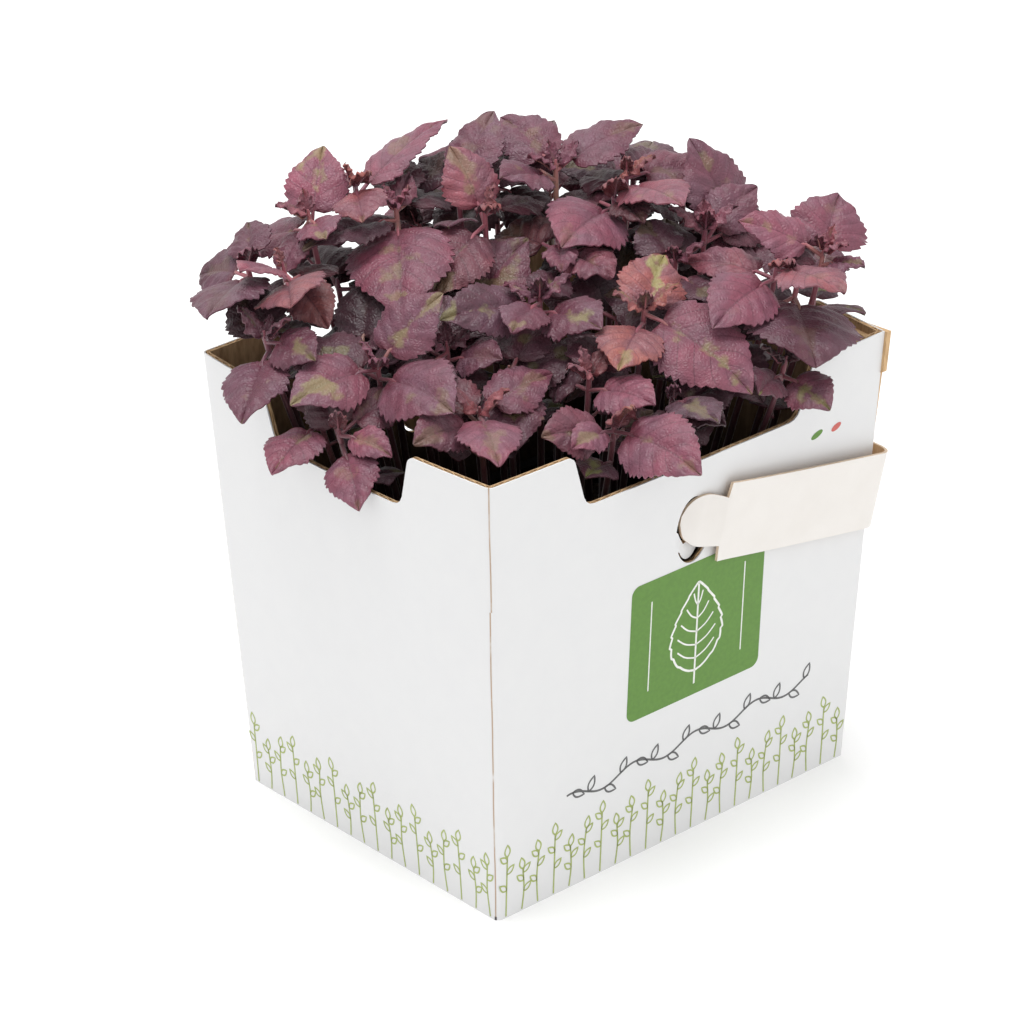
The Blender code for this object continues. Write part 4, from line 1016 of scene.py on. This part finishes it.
# Carton
def wall_outline(z, columns):
    """(point, outward direction, distance round) about the walls at a height, with rounded folds."""
    marks = []
    run = 0.0
    for turn in range(4):
        length, depth = half_sizes(z)[::-1] if turn % 2 else half_sizes(z)
        near = length - FOLD_RADIUS
        for k in range(columns + 1):
            along = near * (2 * k / columns - 1)
            place = turned(along, wall_out(turn, along, z), turn, z)
            marks.append((place, turned(0, 1, turn, 0), run + near + along))
        run += 2 * near
        if turn == 0:
            marks.append((turned(length, depth, turn, z), turned(1, 1, turn, 0), run + FOLD_RADIUS))
            run += 2 * FOLD_RADIUS
            continue
        first = wall_out(turn, near, z) - depth
        last = wall_out(turn + 1, depth - FOLD_RADIUS, z) - length
        for k in range(1, FOLD_STEPS):
            share = k / FOLD_STEPS
            cos, sin = math.cos(math.pi / 2 * share), math.sin(math.pi / 2 * share)
            radius = FOLD_RADIUS + first * (1 - share) + last * share
            place = turned(near + radius * sin, depth - FOLD_RADIUS + radius * cos, turn, z)
            marks.append((place, turned(sin, cos, turn, 0), run + FOLD_RADIUS * math.pi / 2 * share))
        run += FOLD_RADIUS * math.pi / 2
    return marks


def sheet_ring(z, inset, columns):
    """Ring of points at a depth under the walls; the depth may follow the distance round."""
    ring = []
    for place, direction, run in wall_outline(z, columns):
        depth = inset(run) if callable(inset) else inset
        ring.append(place - direction * depth)
    return ring


def sleeve(name, near, far, columns=WALL_STEPS):
    """Closed tube of paper that follows the walls between two depths."""
    corners = [(0.0, near), (CARTON_HEIGHT, near), (CARTON_HEIGHT, far), (0.0, far)]
    rings = [sheet_ring(z, depth, columns) for z, depth in corners]
    count = len(rings[0])
    faces = []
    for k in range(4):
        faces += band_faces(k * count, (k + 1) % 4 * count, count)
    return make_object(name, [point for ring in rings for point in ring], faces)


def wave_depth(extra):
    """Depth of the wave between the liners as a function of the distance round."""
    middle = BOARD / 2 + extra
    return lambda run: middle + WAVE_HALF_HEIGHT * math.sin(math.tau * run / WAVE_PITCH)


def fine_cutters():
    return [
        notch_cutter("long_notch", LONG_NOTCH_TOP, LONG_NOTCH_BOTTOM, "Y"),
        notch_cutter("short_notch", SHORT_NOTCH_TOP, SHORT_NOTCH_BOTTOM, "X"),
        prism("slots", oval(SLOT_HALF_WIDTH, SLOT_HALF_HEIGHT, steps=48)[:-1], RIM_DEPTH, "Y"),
    ]


def smooth(item, angle=40):
    item.data.shade_smooth()
    item.data.set_sharp_from_angle(angle=math.radians(angle))


def dress(item, materials, node, parts=None):
    """Give a piece its materials, hang it on the body and hide the solid that it stands for, if any."""
    item.data.materials.clear()
    for material in materials:
        item.data.materials.append(material)
    if parts:
        item.data.polygons.foreach_set("material_index", parts)
    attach(item, "root")
    if node:
        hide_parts(node)


def build_walls(board, brown, inside):
    """The two liners of the carton's walls and the wave between them."""
    outer = cut(sleeve("carton_outer_liner", 0.0, LINER), fine_cutters())
    columns = int(RIM_LENGTH / WAVE_PITCH * WAVE_STEPS)
    half = WAVE_SHEET / 2
    wave = cut(sleeve("carton_flutes", wave_depth(-half), wave_depth(half), columns), fine_cutters())
    inner = cut(sleeve("carton_inner_liner", BOARD - LINER, BOARD), fine_cutters())
    smooth(outer)
    smooth(inner)
    for item, material in ((outer, board), (wave, brown), (inner, inside)):
        dress(item, [material], "carton")


def build_floor(board):
    """Bottom panels of the carton, their meeting edges scored across the underside."""
    floor = stacked_solid("carton_floor", [sheet_ring(z, BOARD - LINER, 12) for z in (0.05, BOARD)])
    half_length, half_depth = half_sizes(0)
    grooves = []
    side = 0.45 * BASE_LENGTH
    for at, reach, axis in ((0.0, half_length, "X"), (-side, half_depth, "Y"), (side, half_depth, "Y")):
        left, right = at - GROOVE_WIDTH / 2, at + GROOVE_WIDTH / 2
        corners = [(left, -1.0), (right, -1.0), (right, GROOVE_DEPTH), (left, GROOVE_DEPTH)]
        grooves.append(prism("groove", corners, reach - 4, axis))
    dress(cut(floor, grooves), [board], "carton")


def build_glued_corner(board, brown):
    """Glue flap inside the +X wall, and the raw edge of that wall: white outside, brown where it is cut."""
    rows = []
    for z in (BOARD - 0.4, GLUE_FLAP_TOP):
        near = 0.8 - half_sizes(z)[1]
        rows.append((z, near, near + GLUE_FLAP_WIDTH, 0.0))
    dress(board_on_short_wall("carton_glue_flap", rows, (BOARD - 0.8, 2 * BOARD)), [brown], "carton")
    rows = []
    for z, proud, spring in RAW_EDGE_ROWS:
        corner = -half_sizes(z)[1]
        rows.append((z, corner - proud, corner + RAW_EDGE_WIDTH, spring))
    edge = board_on_short_wall("carton_raw_edge", rows, (0.05, BOARD - 0.05))
    for vertex in edge.data.vertices:
        z = vertex.co.z / METRES
        if z < RAW_EDGE_HIDDEN and vertex.co.y / METRES < -half_sizes(z)[1]:
            vertex.co.y += RAW_EDGE_BACK * METRES
    outside = [0 if polygon.normal.x > 0.7 else 1 for polygon in edge.data.polygons]
    dress(edge, [board, brown], "carton", parts=outside)


def fine_flap(name, side, board, brown):
    """Lobe of board pushed in behind the tongue: white outside, brown inside and at its edges."""
    rings = []
    for depth in (0.1, BOARD - 0.1):
        ring = []
        for x, z in flap_outline(24):
            lean = max(0.0, (x - FLAP_HINGE_X) * FLAP_SLOPE)
            ring.append((x, side * (wall_out(0, x, z) - depth - lean), z))
        rings.append(ring)
    flap = stacked_solid(name, rings)
    inside = [0 if polygon.normal.y * side > 0.7 else 1 for polygon in flap.data.polygons]
    dress(flap, [board, brown], "carton", parts=inside)


# Strap
def eased(values, steps):
    """Points of a smooth curve through the values, with so many steps between each two."""
    curve = []
    padded = [values[0], *values, values[-1]]
    for four in zip(padded, padded[1:], padded[2:], padded[3:]):
        terms = []
        for a, b, c, d in zip(*four):
            terms.append((2 * b, c - a, 2 * a - 5 * b + 4 * c - d, 3 * b - a - 3 * c + d))
        for step in range(steps):
            t = step / steps
            curve.append(tuple(0.5 * (e + f * t + g * t * t + h * t ** 3) for e, f, g, h in terms))
    return curve + [tuple(values[-1])]


def fine_strap_sections():
    """Sections of the strap as in the solid, with many more of them and a smooth tongue."""
    corners = [(1, 1), (0.75, 1), (0.5, 1), (0.25, 1), (0, 1), (0, -1), (0.5, -1), (1, -1)]
    columns = eased(STRAP_COLUMNS[:7], 5) + eased(STRAP_COLUMNS[7:], 6)
    legs = {-1: [], 1: []}
    for side, leg in legs.items():
        for along, low, high, standoff in columns:
            rises = [(low + (high - low) * share, face) for share, face in corners]
            leg.append([strap_leg_point(along, rise, standoff, face, side) for rise, face in rises])
    corner_z = strap_point(STRAP_CORNER_X, 0, 0).z
    centre_y = wall_out(0, STRAP_CORNER_X, corner_z) + STRAP_CORNER_STANDOFF - STRAP_CORNER_RADIUS
    path = []
    for k in range(13):
        angle = math.pi / 2 * (k / 12 - 1)
        normal = Vector((math.cos(angle), math.sin(angle)))
        along = STRAP_CORNER_X + STRAP_CORNER_RADIUS * normal.x
        path.append((along, STRAP_CORNER_RADIUS * normal.y - centre_y, normal))
    back = [(along, -across, Vector((normal.x, -normal.y))) for along, across, normal in reversed(path)]
    path += [(along, across, Vector((1, 0))) for across, along in eased(STRAP_END, 6)] + back
    rises = [(STRAP_HALF_WIDTH * (2 * share - 1), face) for share, face in corners]
    bend = [[strap_end_point(*place, rise, face) for rise, face in rises] for place in path]
    return legs[-1] + bend + legs[1][::-1]


def build_fine_strap(card, brown, edge):
    """The strap: cream outside, brown inside, paler brown at its cut edges."""
    sections = [[inside_box(point) for point in section] for section in fine_strap_sections()]
    strap = stacked_solid("handle_strap_fine", sections, split=False)
    smooth(strap, 50)
    parts = [2, 2] + [0, 0, 0, 0, 2, 1, 1, 2] * (len(sections) - 1)
    dress(strap, [card, brown, edge], "handle_strap", parts)


def inside_box(point):
    """The point, kept inside the box that the solids fill."""
    low, high = BOX_MM
    return Vector(tuple(max(a, min(b, value)) for a, b, value in zip(low, high, point)))


# Print
def joined(meshes):
    """One list of points and one of faces from several meshes."""
    points, faces = [], []
    for more, cells in meshes:
        faces += [tuple(len(points) + index for index in cell) for cell in cells]
        points += more
    return points, faces


def film(turn, flat, cells, raised):
    """Closed film of ink on a wall from (along, height) points and the faces between them."""
    count = len(flat)
    points = []
    for lift in (INK_FAR + raised, INK_NEAR + raised):
        points += [turned(along, wall_out(turn, along, z) + lift, turn, z) for along, z in flat]
    faces = cells + [tuple(count + index for index in reversed(cell)) for cell in cells]
    edges = dict.fromkeys(pair for cell in cells for pair in zip(cell, cell[1:] + cell[:1]))
    for here, follow in edges:
        if (follow, here) not in edges:
            faces.append((follow, here, count + here, count + follow))
    return points, faces


def stroke(line, width):
    flat = []
    count = len(line)
    for k, (x, z) in enumerate(line):
        ahead = Vector(line[min(k + 1, count - 1)]) - Vector(line[max(k - 1, 0)])
        aside = ahead.normalized() * (width / 2)
        flat += [(x - aside.y, z + aside.x), (x + aside.y, z - aside.x)]
    return flat, [(2 * k, 2 * k + 1, 2 * k + 3, 2 * k + 2) for k in range(count - 1)]


def filled(outline, step=3.0):
    """Flat shape split into columns, so that it can follow the wall's bow."""
    work = bmesh.new()
    work.faces.new([work.verts.new((x, z, 0)) for x, z in outline])
    place = min(x for x, _ in outline) + step
    while place < max(x for x, _ in outline):
        geometry = work.verts[:] + work.edges[:] + work.faces[:]
        bmesh.ops.bisect_plane(work, geom=geometry, plane_co=(place, 0, 0), plane_no=(1, 0, 0), dist=1e-5)
        place += step
    bmesh.ops.triangulate(work, faces=work.faces)
    bmesh.ops.recalc_face_normals(work, faces=work.faces)
    work.verts.index_update()
    flat = [(vertex.co.x, vertex.co.y) for vertex in work.verts]
    cells = [tuple(vertex.index for vertex in face.verts) for face in work.faces]
    work.free()
    return flat, cells


def print_piece(name, groups, material, raised=0.0):
    """One piece of ink from the flats of several walls."""
    films = [film(turn, *flat, raised) for turn, flats in groups for flat in flats]
    dress(make_object(name, *joined(films), split=False), [material], None)


def almond(root, angle, length, width, line=BORDER_LINE):
    """Outline of a small pointed leaf as a ribbon, from its root at an angle in degrees."""
    ahead = Vector((math.cos(math.radians(angle)), math.sin(math.radians(angle))))
    aside = Vector((-ahead.y, ahead.x))
    loop = []
    for side, k in [(1, k) for k in range(9)] + [(-1, 7 - k) for k in range(8)]:
        bulge = side * width / 2 * math.sin(math.pi * (k / 8) ** 0.85)
        loop.append(tuple(Vector(root) + ahead * length * (k / 8) + aside * bulge))
    return stroke(loop, line)


def sprig(x, foot, height, number):
    """Lines of a little stem with three pointed leaves that take turns, and one at its top."""
    sway = 0.6 * math.sin(2.1 * number)
    line = eased([(x, foot), (x + sway, foot + 0.5 * height), (x, foot + height)], 8)
    flats = [stroke(line, BORDER_LINE), almond((x, foot + height), 90 + 12 * math.sin(number), 3.4, 1.7)]
    side = 1 if number % 2 else -1
    for level in (0.86, 0.66, 0.46):
        place = line[round(level * (len(line) - 1))]
        flats.append(almond(place, 90 - side * 48, 3.0, 1.5))
        side = -side
    return flats


def build_border(material):
    """Row of sprigs along the foot of all four walls, tall and short ones in turn."""
    groups = []
    for turn in range(4):
        room = 2 * half_sizes(BORDER_HEIGHT / 2)[turn % 2] - 6
        count = int(room / BORDER_PITCH)
        flats = []
        for k in range(count + 1):
            height = BORDER_HEIGHT * (1.0, 0.68, 0.86)[k % 3]
            flats += sprig(room * (k / count - 0.5), 0.5, height, k + 5 * turn)
        groups.append((turn, flats))
    print_piece("foot_border", groups, material)


def label_art(x, z, half_width, half_height):
    """Lines of one upright toothed leaf with its veins, between two plain rules."""
    art = []
    for side in (-1, 1):
        edge = []
        for k in range(49):
            share = k / 48
            wide = half_width * math.sin(math.pi * share ** 0.75) ** 0.85 * (1 - 0.08 * (share * 8 % 1))
            edge.append((x + side * wide, z + half_height * (2 * share - 1)))
        art.append(stroke(edge, 0.6))
        for k in range(5):
            level = 0.14 + 0.15 * k
            start = z + half_height * (2 * level - 1)
            reach = side * 0.72 * half_width * math.sin(math.pi * (level + 0.16) ** 0.75)
            line = [(x, start), (x + reach * 0.55, start + 1.3), (x + reach, start + 3.6)]
            art.append(stroke(eased(line, 6), 0.42))
        rule = x + side * 1.75 * half_width
        art.append(stroke([(rule, z + half_height * (k / 5 - 1)) for k in range(11)], 0.35))
    art.append(stroke([(x, z + half_height * (2.25 * k / 10 - 1.3)) for k in range(11)], 0.55))
    return art


def wave_height(x):
    """Height of the printed vine under the label."""
    return 27.0 + 0.035 * x + 1.6 * math.sin(0.3 * x)


def build_label(green, white, grey, red):
    """Green label with a leaf in outline, a wavy vine below it and two small dabs of colour near the rim."""
    left, right, low, high = LABEL
    corners = [(x, z, LABEL_RADIUS) for x, z in ((left, low), (right, low), (right, high), (left, high))]
    print_piece("label_ground", [(0, [filled(rounded(corners, 8))])], green)
    leaf = label_art((left + right) / 2, (low + high) / 2 + 0.5, 9.0, 12.5)
    print_piece("label_leaf", [(0, leaf)], white, OVERPRINT)
    vine = [stroke([(x, wave_height(x)) for x in range(-38, 46)], 0.55)]
    for k in range(16):
        x = -36 + 5.3 * k
        vine.append(almond((x, wave_height(x)), 66 if k % 2 else -26, 4.2, 2.0, 0.5))
    print_piece("wall_vine", [(0, vine)], grey)
    for (name, (x, z, wide)), material in zip(DABS.items(), (green, red)):
        blot = []
        for k in range(24):
            across, up = wide * math.cos(math.tau * k / 24), 0.9 * math.sin(math.tau * k / 24)
            blot.append((x + across, z + up + 0.25 * across))
        print_piece(name, [(0, [filled(blot, 1.5)])], material)


# Fine leaves
def blade_rows(teeth):
    """(share, edge) up a blade: edge is how far out the margin stands, in forward-pointing teeth."""
    rows = []
    first, last = 0.03, 0.985
    for k in range(teeth):
        for step, edge in ((0.0, -1.0), (0.42, 0.25), (0.78, 1.0)):
            share = first + (last - first) * (k + step) / teeth
            fade = min(1.0, 3.5 * (1 - share), 6 * share)
            rows.append((share, 0.985 + FINE_TOOTH * edge * fade))
    rows.append((last, 1.0))
    return rows


def emboss(leaf, share, side, crinkle):
    """Height of the groove along the midrib and of the puckers between the side veins."""
    half = leaf.width * leaf.length / 2
    across = abs(side)
    groove = -MIDRIB_GROOVE * math.exp(-(across * half / 1.1) ** 2)
    phase = (share - VEIN_SLOPE * across) * SIDE_VEINS
    fade = min(1.0, 3.0 * across) * (1 - across ** 4) * min(1.0, 5 * (1 - share))
    swell = math.sin(math.pi * phase) ** 2 * fade
    wave = across ** 3 * math.sin(23.0 * share + 2.0 * leaf.phase + (2.1 if side > 0 else 0.0))
    return groove + crinkle * (PUCKER * (swell - 0.4) + MARGIN_WAVE * wave)


def blade_mesh(leaf, teeth, crinkle, looks):
    """Points, faces, material indices and two vectors per point for one fine blade."""
    rows = blade_rows(teeth)
    sides = [k / BLADE_COLUMNS for k in range(-BLADE_COLUMNS, BLADE_COLUMNS + 1)]
    wide = len(sides)
    points, places = [], []
    for face in (0.5, -0.5):
        for share, edge in rows:
            for side in sides:
                factor = side * (1 + (edge - 1) * abs(side) ** 6)
                height = emboss(leaf, share, side, crinkle)
                points.append(leaf.point(share, factor, height + face * SHEET_THICKNESS))
                places.append((share, side, 0.0))
    sheet = len(rows) * wide
    base, tip = 2 * sheet, 2 * sheet + 1
    points += [leaf.point(0.0, 0.0), leaf.point(1.0, 0.0)]
    places += [(0.0, 0.0, 0.0), (1.0, 0.0, 0.0)]
    faces, parts = [], []
    for part, start in enumerate((0, sheet)):
        for row in range(len(rows) - 1):
            for column in range(wide - 1):
                a = start + row * wide + column
                cell = (a, a + 1, a + 1 + wide, a + wide)
                faces.append(cell if part == 0 else cell[::-1])
                parts.append(part)
        for column in range(wide - 1):
            first, end = start + column, start + (len(rows) - 1) * wide + column
            faces.append((base, first + 1, first) if part == 0 else (base, first, first + 1))
            faces.append((end, end + 1, tip) if part == 0 else (end + 1, end, tip))
            parts += [part, part]
    rim = [base] + [row * wide for row in range(len(rows))] + [tip]
    rim += [row * wide + wide - 1 for row in reversed(range(len(rows)))]
    for here, follow in zip(rim, rim[1:] + rim[:1]):
        under = [index if index in (base, tip) else index + sheet for index in (here, follow)]
        cell = [here, under[0], under[1], follow]
        faces.append(tuple(dict.fromkeys(cell)))
        parts.append(0)
    return points, faces, parts, places, [looks] * len(points)


def add_mesh(total, points, faces, parts, places=None, looks=None):
    """Add a tube or a blade to the running lists of a piece."""
    start = len(total["points"])
    plain = [(0.0, 0.0, 0.0)] * len(points)
    total["points"] += points
    total["faces"] += [tuple(start + index for index in face) for face in faces]
    total["parts"] += parts if isinstance(parts, list) else [parts] * len(faces)
    total["leaf_place"] += places or plain
    total["leaf_looks"] += looks or plain


def add_blade(total, leaf, teeth, crinkle, look, cover, stalk, end=0.8):
    """Blade with its stalk; a look is its tone and green, and painted shade makes it darker the more it is
    covered.
    """
    # The third value is the strength of the painted shade from the blades above.
    looks = (*look, COVER_SHADE * covered_share(leaf, cover))
    add_mesh(total, *blade_mesh(leaf, teeth, crinkle, looks))
    add_stalk(total, leaf, stalk, crinkle, end)


def cover_tree(plants):
    """Search tree of all the blades, to find how far each of them is covered."""
    return BVHTree.FromPolygons(*joined(leaf_mesh(leaf) for *_, leaves in plants for leaf in leaves))


def covered_share(leaf, tree):
    """Share of the sky over a blade that other blades hide."""
    ways = [Vector((0.0, 0.0, 1.0))]
    for angle in range(0, 360, 45):
        ways.append(Vector((0.9 * math.cos(math.radians(angle)), 0.9 * math.sin(math.radians(angle)), 1.0)))
    hits = []
    for share, side in ((0.2, 0.0), (0.5, 0.5), (0.5, -0.5), (0.85, 0.0)):
        start = leaf.point(share, side, 1.5)
        hits += [tree.ray_cast(start, way.normalized(), 45.0)[0] is not None for way in ways]
    return sum(hits) / len(hits)


def add_stalk(total, leaf, radius, crinkle, end):
    """Petiole that runs on as the raised midrib under the blade."""
    base = leaf.frame(0.0)[0]
    path = [leaf.axis.copy(), leaf.axis.lerp(base, 0.5), base]
    radii = [radius, radius * 0.9, radius * 0.8]
    for k in range(1, 13):
        share = end * k / 12
        radii.append(radius * (0.7 - 0.5 * k / 12))
        depth = emboss(leaf, share, 0, crinkle) - SHEET_THICKNESS / 2 - 0.45 * radii[-1]
        path.append(leaf.point(share, 0.0, depth))
    add_mesh(total, *tube_mesh(path, radii, 7), 2)


def fine_stem(total, foot, crown):
    radii = [radius * 0.92 for radius in [STEM_RADIUS * 0.92] + stem_radii(FINE_STEM_STEPS)] + [BUD_RADIUS]
    add_mesh(total, *tube_mesh(stem_path(foot, crown, FINE_STEM_STEPS), radii, 8), 2)


def crown_leaves(foot, crown, number, placed, draw):
    """Small leaves still unfolding at the crown, kept clear of the other plants."""
    slope = crown_slope(foot, crown)
    young = []
    heading = draw.uniform(0, 360)
    for k in range(4):
        reach = draw.uniform(9, 12) if k < 2 else draw.uniform(6, 8)
        pitch = draw.uniform(28, 48) if k < 2 else draw.uniform(55, 70)
        root = crown + slope * (0.2 + 0.5 * (k // 2))
        turn = heading + 180 * (k % 2) + 90 * (k // 2)
        leaf = Leaf(root, turn, pitch, reach, draw.uniform(0.6, 0.8), 0, draw.uniform(0, 6))
        leaf.petiole = 1.0
        leaf.length = reach - leaf.petiole
        young += first_clear([leaf], number, placed)
    return young


def seed_leaves(foot, crown, number, placed, draw):
    """The two round seed leaves, lower on the stem."""
    pair = []
    heading = draw.uniform(0, 360)
    root = crown - crown_slope(foot, crown) * draw.uniform(9, 15)
    for k in range(2):
        pitch, reach, roll = draw.uniform(0, 20), draw.uniform(12, 15), draw.uniform(-15, 15)
        leaf = Leaf(root, heading + 180 * k, pitch, reach, 1.15, roll, 0)
        options = [leaf.changed(turn, 0, 1.0) for turn in (0, 25, -25, 50, -50)]
        pair += first_clear(filter(leaf_clears_carton, options), number, placed)
    return pair


def plant_piece(name, total, materials):
    points = [inside_box(point) for point in total["points"]]
    item = make_object(f"{name}_fine", points, total["faces"], turn_out=False, split=False)
    for key in ("leaf_place", "leaf_looks"):
        layer = item.data.attributes.new(key, "FLOAT_VECTOR", "POINT")
        layer.data.foreach_set("vector", [value for vector in total[key] for value in vector])
    smooth(item, 70)
    dress(item, materials, name, total["parts"])


def build_plants(plants, materials):
    """One piece for each plant: stem, blades, the small leaves at its crown and its seed leaves."""
    placed = []
    for number, (_, foot, crown, leaves) in enumerate(plants):
        placed.append(Obstacle(*stem_mesh(foot, crown), number))
        placed += [leaf_obstacle(leaf, number) for leaf in leaves]
    cover = cover_tree(plants)
    draw = random.Random(LOOKS_SEED)
    for number, (name, foot, crown, leaves) in enumerate(plants):
        total = {"points": [], "faces": [], "parts": [], "leaf_place": [], "leaf_looks": []}
        fine_stem(total, foot, crown)
        usual = ((draw.uniform(0.15, 0.8),), draw.uniform(0.0, 0.5), draw.uniform(0.5, 1.0))
        tones, green, crinkle = STEM_LOOKS.get(name, usual)
        for k, leaf in enumerate(leaves):
            teeth = 9 if leaf.reach < 20 else 11 if leaf.reach < 28 else 13
            tone = tones[k % len(tones)] + draw.uniform(-0.16, 0.16)
            look = (tone, green * draw.uniform(0.4, 1.5))
            add_blade(total, leaf, teeth, crinkle * draw.uniform(0.8, 1.2), look, cover, 0.62)
        for leaf in crown_leaves(foot, crown, number, placed, draw):
            look = (min(1.0, tones[0] + 0.25), green * 0.6)
            add_blade(total, leaf, 5, 1.3, look, cover, 0.4, 0.7)
        for leaf in seed_leaves(foot, crown, number, placed, draw):
            look = (draw.uniform(0.1, 0.4), draw.uniform(0.9, 1.6))
            add_blade(total, leaf, 3, 0.2, look, cover, 0.5, 0.5)
        plant_piece(f"stem_{name}", total, materials)


# Camera, floor and light
def set_camera():
    heading, tilt, roll = (math.radians(angle) for angle in (CAMERA_HEADING, CAMERA_TILT, CAMERA_ROLL))
    flat = Vector((math.sin(heading), math.cos(heading), 0))
    forward = flat * math.cos(tilt) - Vector((0, 0, math.sin(tilt)))
    right = forward.cross(Vector((0, 0, 1))).normalized()
    up = right.cross(forward)
    across = right * math.cos(roll) + up * math.sin(roll)
    over = up * math.cos(roll) - right * math.sin(roll)
    camera = bpy.data.cameras.new("camera")
    camera.lens = FOCAL_LENGTH
    camera.sensor_width = SENSOR_WIDTH
    camera.clip_end = 20.0
    item = add_item("camera", camera)
    item.matrix_world = Matrix((across, over, -forward)).transposed().to_4x4()
    item.matrix_world.translation = Vector(CAMERA_PLACE) * METRES
    bpy.context.scene.camera = item


def add_light(name, place, target, size, power):
    light = bpy.data.lights.new(name, "AREA")
    light.energy = power
    light.size = size
    item = add_item(name, light)
    item.location = place
    item.rotation_euler = (Vector(target) - Vector(place)).to_track_quat("-Z", "Y").to_euler()


def set_studio():
    """Pale floor, soft white world and area lights."""
    skin = Skin("white_floor", (0.9, 0.9, 0.9), 0.7)
    skin.set("Base Color", skin.ramp(skin.noise(6.0), (0.3, (0.88, 0.88, 0.88)), (0.7, (0.92, 0.92, 0.92))))
    skin.set("Emission Color", (1.0, 1.0, 1.0))
    skin.set("Emission Strength", 0.13)
    mesh = bpy.data.meshes.new("floor")
    corners = [(-1, -1), (1, -1), (1, 1), (-1, 1)]
    mesh.from_pydata([(x * FLOOR_REACH, y * FLOOR_REACH, 0) for x, y in corners], [], [(0, 1, 2, 3)])
    mesh.materials.append(skin.material)
    add_item("floor", mesh)
    world = bpy.data.worlds.new("studio")
    world.use_nodes = True
    background = world.node_tree.nodes["Background"]
    background.inputs["Color"].default_value = (1.0, 1.0, 1.0, 1.0)
    background.inputs["Strength"].default_value = WORLD_LIGHT
    bpy.context.scene.world = world
    for light in LIGHTS:
        add_light(*light)
    bpy.context.scene.view_settings.view_transform = "Standard"


def dress_node(name, material):
    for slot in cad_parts[name].material_slots:
        slot.material = material


def main():
    set_camera()
    set_studio()
    board = coated_board()
    brown = kraft("kraft_edge", (0.48, 0.30, 0.15), (0.68, 0.46, 0.25))
    # The inside liner carries painted shade that darkens it down the walls.
    build_walls(board, brown, kraft("kraft_inside", (0.33, 0.20, 0.10), (0.56, 0.38, 0.21), shade_down_walls=True))
    build_floor(board)
    build_glued_corner(board, brown)
    fine_flap("carton_front_lobe", -1, board, brown)
    fine_flap("carton_back_lobe", 1, board, brown)
    edge = kraft("card_edge", (0.60, 0.46, 0.33), (0.74, 0.60, 0.46))
    build_fine_strap(cream_card(), kraft("strap_back", (0.58, 0.35, 0.17), (0.76, 0.50, 0.28)), edge)
    green, white = ink("ink_green", (0.103, 0.24, 0.028)), ink("ink_white", (0.86, 0.87, 0.82))
    build_label(green, white, ink("ink_grey", (0.12, 0.12, 0.12)), ink("ink_red", (0.6, 0.12, 0.10)))
    build_border(ink("ink_olive", (0.38, 0.45, 0.14)))
    dress_node("growing_tray", black_plastic())
    dress_node("growing_medium", soil())
    top = leaf_skin("leaf_top", TOP_TONES, (0.19, 0.09, 0.13), (0.11, 0.025, 0.045), (0.33, 0.32, 0.11))
    under = leaf_skin("leaf_under", UNDER_TONES, (0.07, 0.03, 0.05), (0.22, 0.035, 0.06), (0.16, 0.13, 0.06))
    build_plants(plan_plants(), [top, under, stem_skin()])


main()
